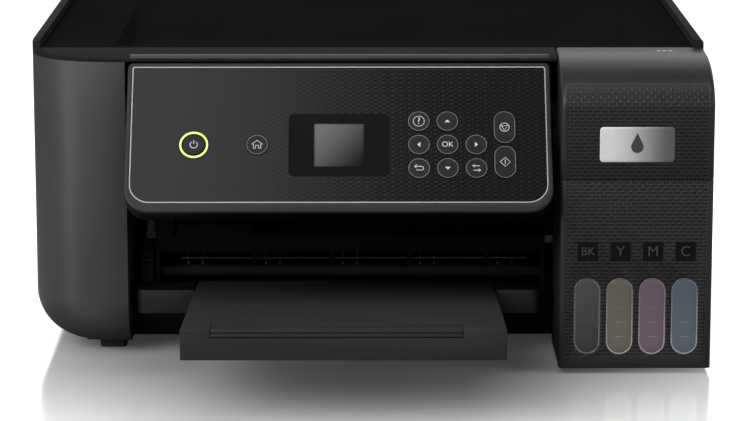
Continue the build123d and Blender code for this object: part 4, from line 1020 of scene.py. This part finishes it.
@dataclass
class ControlPanel:
    """Tilted panel: face, painted highlight line, display and marked keys."""

    border: float = 2.6 * MM
    border_low: float = 5.4 * MM
    border_corners: tuple[float, float] = (13.5 * MM, 1.2 * MM)
    line: float = 0.55 * MM
    ring_radius: float = 7.3 * MM
    outline: float = 0.32 * MM
    outline_radius: float = 5.6 * MM
    long_outline: float = 9.3 * MM
    mark: float = 0.42 * MM
    display_down: float = 50.1 * MM
    display_half: tuple[float, float] = (27.1 * MM, 18.6 * MM)
    screen_half: tuple[float, float] = (13.5 * MM, 13.0 * MM)

    def __post_init__(self) -> None:
        """Works out the panel's plane from the frame."""
        low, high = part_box("panel_frame")
        sine, cosine = math.sin(PANEL_TILT), math.cos(PANEL_TILT)
        self.half = (high.x - low.x) / 2
        self.middle = (low.x + high.x) / 2
        self.face_y = high.y - PANEL_THICKNESS * cosine
        self.top_z = low.z + PANEL_LENGTH * cosine + PANEL_THICKNESS * sine
        self.normal = Vector((0, -cosine, sine))
        self.tilt = Matrix.Rotation(math.pi / 2 - PANEL_TILT, 4, "X")

    def on_face(self, x: float, along: float, proud: float) -> Matrix:
        """Plane on the panel's face.

        Args:
            x: Distance from the panel's middle.
            along: Distance up the face from its top edge.
            proud: Height over the face.

        Returns:
            The plane.
        """
        sine, cosine = math.sin(PANEL_TILT), math.cos(PANEL_TILT)
        origin = Vector((self.middle + x, self.face_y + along * sine, self.top_z + along * cosine))
        return Matrix.Translation(origin + self.normal * proud) @ self.tilt

    def on_key(self, key: str, proud: float = 0.0) -> Matrix:
        """Plane on a key's face, at its middle.

        Args:
            key: The key's name, without its prefix.
            proud: Height over the key's face.

        Returns:
            The plane.
        """
        points = [vertex.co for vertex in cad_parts[f"button_{key}"].data.vertices]
        height = max(point.dot(self.normal) for point in points)
        low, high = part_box(f"button_{key}")
        middle = (low + high) / 2
        lift = height - middle.dot(self.normal) + proud
        return Matrix.Translation(middle + self.normal * lift) @ self.tilt

    def build(self) -> None:
        """Makes the panel's trim and marks."""
        self._border()
        self._display()
        self._power_ring()
        round_keys = ("home", "help", "up", "left", "ok", "right", "back", "down", "settings")
        outlines = {key: circle(self.outline_radius) for key in round_keys}
        side, end, corner = self.outline_radius, self.long_outline, self.outline_radius - 0.1 * MM
        for key in ("stop", "start"):
            outlines[key] = rounded_box(-side, side, -end, end, (corner, corner))
        for key, loop in outlines.items():
            ring = strokes(f"{key}_outline", [loop], self.outline, self.on_key(key), closed=True)
            dress(ring, FINE_PRINT, f"key_{key}")
        self._marks()

    def _border(self) -> None:
        """Painted highlight: a light line round the face, just inside the frame."""
        below, above = self.border_corners
        foot = self.border_low - self.border - PANEL_LENGTH
        loops = [rounded_box(inset - self.half, self.half - inset, foot + inset, -inset,
                             (below - inset, above)) for inset in (self.border, self.border + self.line)]
        dress(plate("panel_edge_painted_highlight", loops, 0.3 * MM, self.on_face(0, 0, -0.15 * MM)), BORDER_HIGHLIGHT, "panel")

    def _display(self) -> None:
        """Gloss frame round the screen, and the screen's window with a painted reflection."""
        place = self.on_face(0, -self.display_down, -0.1 * MM)
        sizes = ((self.display_half, 3.2 * MM), (self.screen_half, 0.4 * MM))
        outer, inner = (rounded_box(-across, across, -up, up, (corner, corner))
                        for (across, up), corner in sizes)
        dress(plate("display_frame", [outer, inner], 0.35 * MM, place), SCREEN_FRAME, "panel")
        low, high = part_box("lcd_screen")
        # painted reflection: the screen runs from light grey at the upper left to near black at the lower
        # right
        down_right = Vector((0.75, -0.35, -0.55)).normalized()
        start = down_right.dot(Vector((low.x, high.y, high.z)))
        end = down_right.dot(Vector((high.x, low.y, low.z)))
        screen = Shaded("display_glass_painted_reflection", "screen_glass", (0.125, 0.125, 0.127), (0.004, 0.004, 0.0043),
                        tuple(down_right), start, end, 0.12, specular=0.02)
        paint("lcd_screen", screen)

    def _power_ring(self) -> None:
        """Lit ring round the power key."""
        loops = [circle(self.ring_radius + shift, points=64) for shift in (0.5 * MM, -0.55 * MM)]
        dress(plate("power_ring", loops, 0.4 * MM, self.on_key("power", -0.55 * MM)), RING, "panel")

    def _marks(self) -> None:
        """Generic symbols on the keys, drawn in millimetres about each key's middle."""
        lines = {
            "power": [arc(2.0, 125, 415), [(0, 0.4), (0, 2.7)]],
            "home": [[(-2.9, 0.2), (0, 2.6), (2.9, 0.2)],
                     [(-2.0, 0.3), (-2.0, -2.2), (-0.8, -2.2), (-0.8, -0.4),
                      (0.8, -0.4), (0.8, -2.2), (2.0, -2.2), (2.0, 0.3)]],
            "back": [[(-1.2, 2.1), (-2.6, 1.0), (-1.2, -0.1)], [(-2.6, 1.0), (1.2, 1.0)],
                     arc(1.1, 90, -90, (1.2, -0.1)), [(1.2, -1.2), (-1.6, -1.2)]],
            "settings": [[(-1.0, 2.2), (-2.2, 1.3), (-1.0, 0.5)], [(-2.2, 1.3), (1.8, 1.3)],
                         [(1.0, -0.5), (2.2, -1.3), (1.0, -2.2)], [(2.2, -1.3), (-1.8, -1.3)]],
            "stop": [arc(2.5, 0, 360, steps=28), [(-1.7, 0.9), (1.7, 0.9), (0, -1.9), (-1.7, 0.9)]],
            "start": [[(-2.7, 0), (0, 2.7), (2.7, 0), (0, -2.7), (-2.7, 0)], [(0, 1.3), (0, -1.3)]],
        }
        for key, paths in lines.items():
            mark = strokes(f"{key}_mark", [in_metres(path) for path in paths], self.mark, self.on_key(key))
            dress(mark, PRINT, f"key_{key}")
        heads = {
            "up": [(-1.5, -0.7), (1.5, -0.7), (0, 0.9)], "down": [(-1.5, 0.7), (0, -0.9), (1.5, 0.7)],
            "left": [(0.7, 1.5), (-0.9, 0), (0.7, -1.5)], "right": [(-0.7, 1.5), (-0.7, -1.5), (0.9, 0)],
        }
        for key, points in heads.items():
            mark = plate(f"{key}_mark", [in_metres(points)], 0.08 * MM, self.on_key(key))
            dress(mark, PRINT, f"key_{key}")
        dress(lettering("ok_mark", "OK", 4.4 * MM, self.on_key("ok")), PRINT, "key_ok")
        dress(lettering("help_mark", "?", 5.4 * MM, self.on_key("help")), PRINT, "key_help")
        ring = strokes("help_mark_ring", [circle(3.0 * MM)], self.outline, self.on_key("help"), closed=True)
        dress(ring, PRINT, "key_help")


@dataclass
class TankUnit:
    """Windows, labels and plate of the ink tank unit."""

    window_half: float = 6.9 * MM
    window_low: float = 11.4 * MM
    window_high: float = 53.3 * MM
    first_window: float = 15.2 * MM
    pitch: float = 17.7 * MM
    rim: float = 0.7 * MM
    lens_inset: float = 0.75 * MM
    level_step: float = 8.2 * MM
    label_z: float = 68.4 * MM
    label_half: tuple[float, float] = (5.5 * MM, 5.4 * MM)
    plate_x: tuple[float, float] = (20.9 * MM, 61.3 * MM)
    plate_z: tuple[float, float] = (9.9 * MM, 29.1 * MM)
    drop_radius: float = 3.4 * MM

    def build(self) -> None:
        """Makes the tank unit's trim."""
        low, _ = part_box("tank_front_panel")
        self.front = low.y
        # Upper and lower tones paint shading that runs up each ink window.
        tones = {
            "BK": ("ink_black", (0.045, 0.045, 0.046), (0.030, 0.030, 0.031)),
            "Y": ("ink_yellow", (0.096, 0.085, 0.072), (0.120, 0.105, 0.088)),
            "M": ("ink_magenta", (0.108, 0.070, 0.100), (0.130, 0.090, 0.116)),
            "C": ("ink_cyan", (0.062, 0.082, 0.104), (0.086, 0.107, 0.126)),
        }
        for number, (letters, (slot, upper, lower)) in enumerate(tones.items()):
            self._window(letters, slot, upper, lower, low.x + self.first_window + number * self.pitch)
        self._plate()
        self._top_mark()

    def _window(self, letters: str, slot: str, upper: Color, lower: Color, x: float) -> None:
        """One window: rim, lens and level marks with painted shading, and label.

        Args:
            letters: The ink's letters.
            slot: The ink's slot.
            upper: Painted shading tone at the window's top.
            lower: Painted shading tone at its bottom.
            x: Its middle.
        """
        half, low, high, inset = self.window_half, self.window_low, self.window_high, self.lens_inset
        face = upright(Vector((x, self.front, 0)))
        just_in = face @ Matrix.Translation((0, 0, -0.1 * MM))
        sunk = face @ Matrix.Translation((0, 0, -0.55 * MM))
        rise = (0.0, 0.0, 1.0)
        # painted shading: lens, rim and level marks change tone from bottom to top, the rim and marks lighter
        tint = Shaded(f"window_{letters.lower()}", slot, lower, upper, rise, low, high, 0.28)
        rim_painted_shading = Shaded(f"window_{letters.lower()}_rim", slot, tuple(value * 2.6 for value in lower),
                          tuple(value * 1.2 for value in upper), rise, low, high, 0.2)
        radius = half - inset - 0.05 * MM
        lens = rounded_box(inset - half, half - inset, low + inset, high - inset, (radius, radius))
        dress(plate(f"window_{letters}_lens", [lens], 0.5 * MM, sunk, 0.2 * MM), tint, "case")
        loop = rounded_box(-half, half, low, high, (half - 0.01 * MM, half - 0.01 * MM))
        dress(strokes(f"window_{letters}_rim", [loop], self.rim, just_in, closed=True), rim_painted_shading, "case")
        Row(f"window_{letters}_levels", 4, Vector((x, self.front + 0.02 * MM, low + 9.5 * MM)),
            Vector((0, 0, self.level_step)),
            Vector((5.4 * MM, 0.1 * MM, 0.4 * MM))).build(rim_painted_shading, "case")
        width, height = self.label_half
        outline = rounded_box(-width, width, self.label_z - height, self.label_z + height, (MM, MM))
        dress(plate(f"label_{letters}", [outline], 0.12 * MM, just_in), LABEL, "case")
        place = upright(Vector((x, self.front - 0.02 * MM, self.label_z)))
        size = 6.4 * MM if len(letters) > 1 else 8.0 * MM
        dress(lettering(f"letters_{letters}", letters, size, place), LABEL_MARK, "case")

    def _plate(self) -> None:
        """Plain silver plate with a painted reflection and a generic drop on the tank cover."""
        low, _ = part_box("tank_cover")
        left, right = (low.x + shift for shift in self.plate_x)
        bottom, top = (low.z + shift for shift in self.plate_z)
        # painted reflection: the foil runs from near white at the left to dark grey at the right
        foil = Shaded("silver_foil_painted_reflection", "badge_silver", (0.95, 0.95, 0.97), (0.16, 0.16, 0.165),
                      (1.0, 0.0, 0.0), left + 4 * MM, right, 0.34, metallic=0.75)
        face = upright(Vector((0, low.y + 0.25 * MM, 0)))
        outline = rounded_box(left, right, bottom, top, (2.0 * MM, 2.0 * MM))
        dress(plate("silver_plate", [outline], 0.45 * MM, face, 0.18 * MM), foil, "tank_lid")
        x, z = (left + right) / 2, (bottom + top) / 2 - 1.2 * MM
        drop = arc(self.drop_radius, 150, 390, (x, z), 24) + [(x, z + 2.25 * self.drop_radius)]
        mark = upright(Vector((0, low.y - 0.19 * MM, 0)))
        dress(plate("plate_drop", [drop], 0.06 * MM, mark), LABEL_MARK, "tank_lid")

    def _top_mark(self) -> None:
        """Three small white bars on the cover's top."""
        low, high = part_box("tank_cover")
        place = Matrix.Translation((low.x + 60 * MM, high.y - 10 * MM, high.z - 0.45 * MM))
        bars = [rounded_box(shift, shift + 2.2 * MM, -1.6 * MM, 1.6 * MM, (0.5 * MM, 0.5 * MM))
                for shift in (-4.4 * MM, -1.1 * MM, 2.2 * MM)]
        dress(plate("cover_top_mark", bars, 0.1 * MM, place), WHITE_MARK, "tank_lid")


@dataclass
class Studio:
    """Floor, lights and camera.

    The floor is pale far from the printer and a soft mirror near it, between the two fade distances.
    """

    camera_place: tuple[float, float, float] = (-3.25 * MM, -1771.5 * MM, 424.9 * MM)
    pitch: float = 0.1991
    yaw: float = 0.0041
    lens: float = 149.9
    floor_side: float = 60.0
    mirror: float = 0.62
    near_glow: float = 0.03
    fade_start: float = 0.13
    fade_end: float = 0.42
    front_fill: float = 0.16
    pale_band: float = 1.3

    def build(self) -> None:
        """Makes the studio."""
        self._floor()
        self._lights()
        self._camera()

    def _floor(self) -> None:
        """Pale floor with a soft reflection, which looks brighter than the light it sends to the printer."""
        mesh = bpy.data.meshes.new("studio_floor")
        side = self.floor_side
        mesh.from_pydata([(-side, -side, 0), (side, -side, 0), (side, side, 0), (-side, side, 0)], [],
                         [(0, 1, 2, 3)])
        floor = link("studio_floor", mesh)
        material, graph, shader = fresh_material("floor_gloss")
        place = graph.place()
        grain = graph.group(GRAIN, Vector=place, Grain=40.0)
        length = graph.add("ShaderNodeVectorMath", {0: place}, operation="LENGTH").outputs["Value"]
        far = graph.ramp(length, self.fade_start, self.fade_end, self.near_glow, 1.0)
        seen = graph.add("ShaderNodeLightPath").outputs["Is Camera Ray"]
        graph.feed(shader.inputs["Roughness"], graph.ramp(grain.outputs["Patches"], 0.0, 1.0, 0.11, 0.13))
        graph.feed(shader.inputs["Emission Strength"], graph.math("MULTIPLY", far, seen))
        shader.inputs["Emission Color"].default_value = (1.0, 1.0, 1.0, 1.0)
        tone = graph.blend(seen, scaled((1, 1, 1), 0.25), scaled((1, 1, 1), 0.9))
        graph.feed(shader.inputs["Base Color"], tone)
        shader.inputs["Metallic"].default_value = self.mirror
        mesh.materials.append(material)

    def _lights(self) -> None:
        """Soft boxes above, at both sides and behind, and a world with one pale band over the horizon."""
        world = bpy.data.worlds.new("studio_world")
        bpy.context.scene.world = world
        world.use_nodes = True
        graph = Graph(world.node_tree)
        background = world.node_tree.nodes["Background"]
        _, back, up = graph.split(graph.add("ShaderNodeTexCoord").outputs["Generated"])
        band = graph.math("MULTIPLY", graph.ramp(up, 0.165, 0.22), graph.ramp(up, 0.5, 0.34, 0.05, 1.0))
        front = graph.ramp(back, 0.2, -0.7, 0.06, self.front_fill)
        lit = graph.math("ADD", graph.math("MULTIPLY", band, self.pale_band), front)
        seen = graph.add("ShaderNodeLightPath").outputs["Is Camera Ray"]
        graph.feed(background.inputs["Strength"], graph.math("MAXIMUM", lit, seen))
        background.inputs["Color"].default_value = (1.0, 1.0, 1.0, 1.0)
        boxes = (
            ("key_softbox", (-1.05, -1.65, 1.5), (1.2, 1.2), 36.0),
            ("top_softbox", (0.1, -0.45, 1.9), (1.6, 0.3), 11.0),
            ("left_strip", (-1.3, -0.7, 0.6), (0.4, 1.4), 10.0),
            ("right_strip", (1.4, -0.5, 0.6), (0.5, 1.4), 4.0),
            ("back_softbox", (0.2, 1.9, 1.6), (1.6, 0.8), 4.0),
        )
        middle = Vector((0.0, 0.0, 0.08))
        for name, place, size, power in boxes:
            data = bpy.data.lights.new(name, "AREA")
            data.shape = "RECTANGLE"
            data.size, data.size_y = size
            data.energy = power
            lamp = bpy.data.objects.new(name, data)
            lamp.location = place
            aim = middle - Vector(place)
            lamp.rotation_euler = aim.to_track_quat("-Z", "Y").to_euler()
            bpy.context.scene.collection.objects.link(lamp)

    def _camera(self) -> None:
        """Camera at the front, looking slightly down."""
        data = bpy.data.cameras.new("camera")
        data.lens = self.lens
        data.sensor_width = 36.0
        data.clip_start, data.clip_end = 0.05, 50.0
        camera = bpy.data.objects.new("camera", data)
        camera.location = self.camera_place
        camera.rotation_euler = (math.pi / 2 - self.pitch, 0.0, -self.yaw)
        bpy.context.scene.collection.objects.link(camera)
        bpy.context.scene.camera = camera
        bpy.context.scene.view_settings.view_transform = "Standard"


def paint_nodes() -> None:
    """Gives every CAD node its finish."""
    for finish, nodes in NODE_FINISHES.items():
        for node in nodes:
            paint(node, finish)


def main() -> None:
    """Builds the looks in order."""
    logging.basicConfig(level=logging.INFO, format="%(name)s: %(message)s")
    Studio().build()
    paint_nodes()
    Casing().build()
    ControlPanel().build()
    TankUnit().build()


if __name__ == "__main__":
    main()
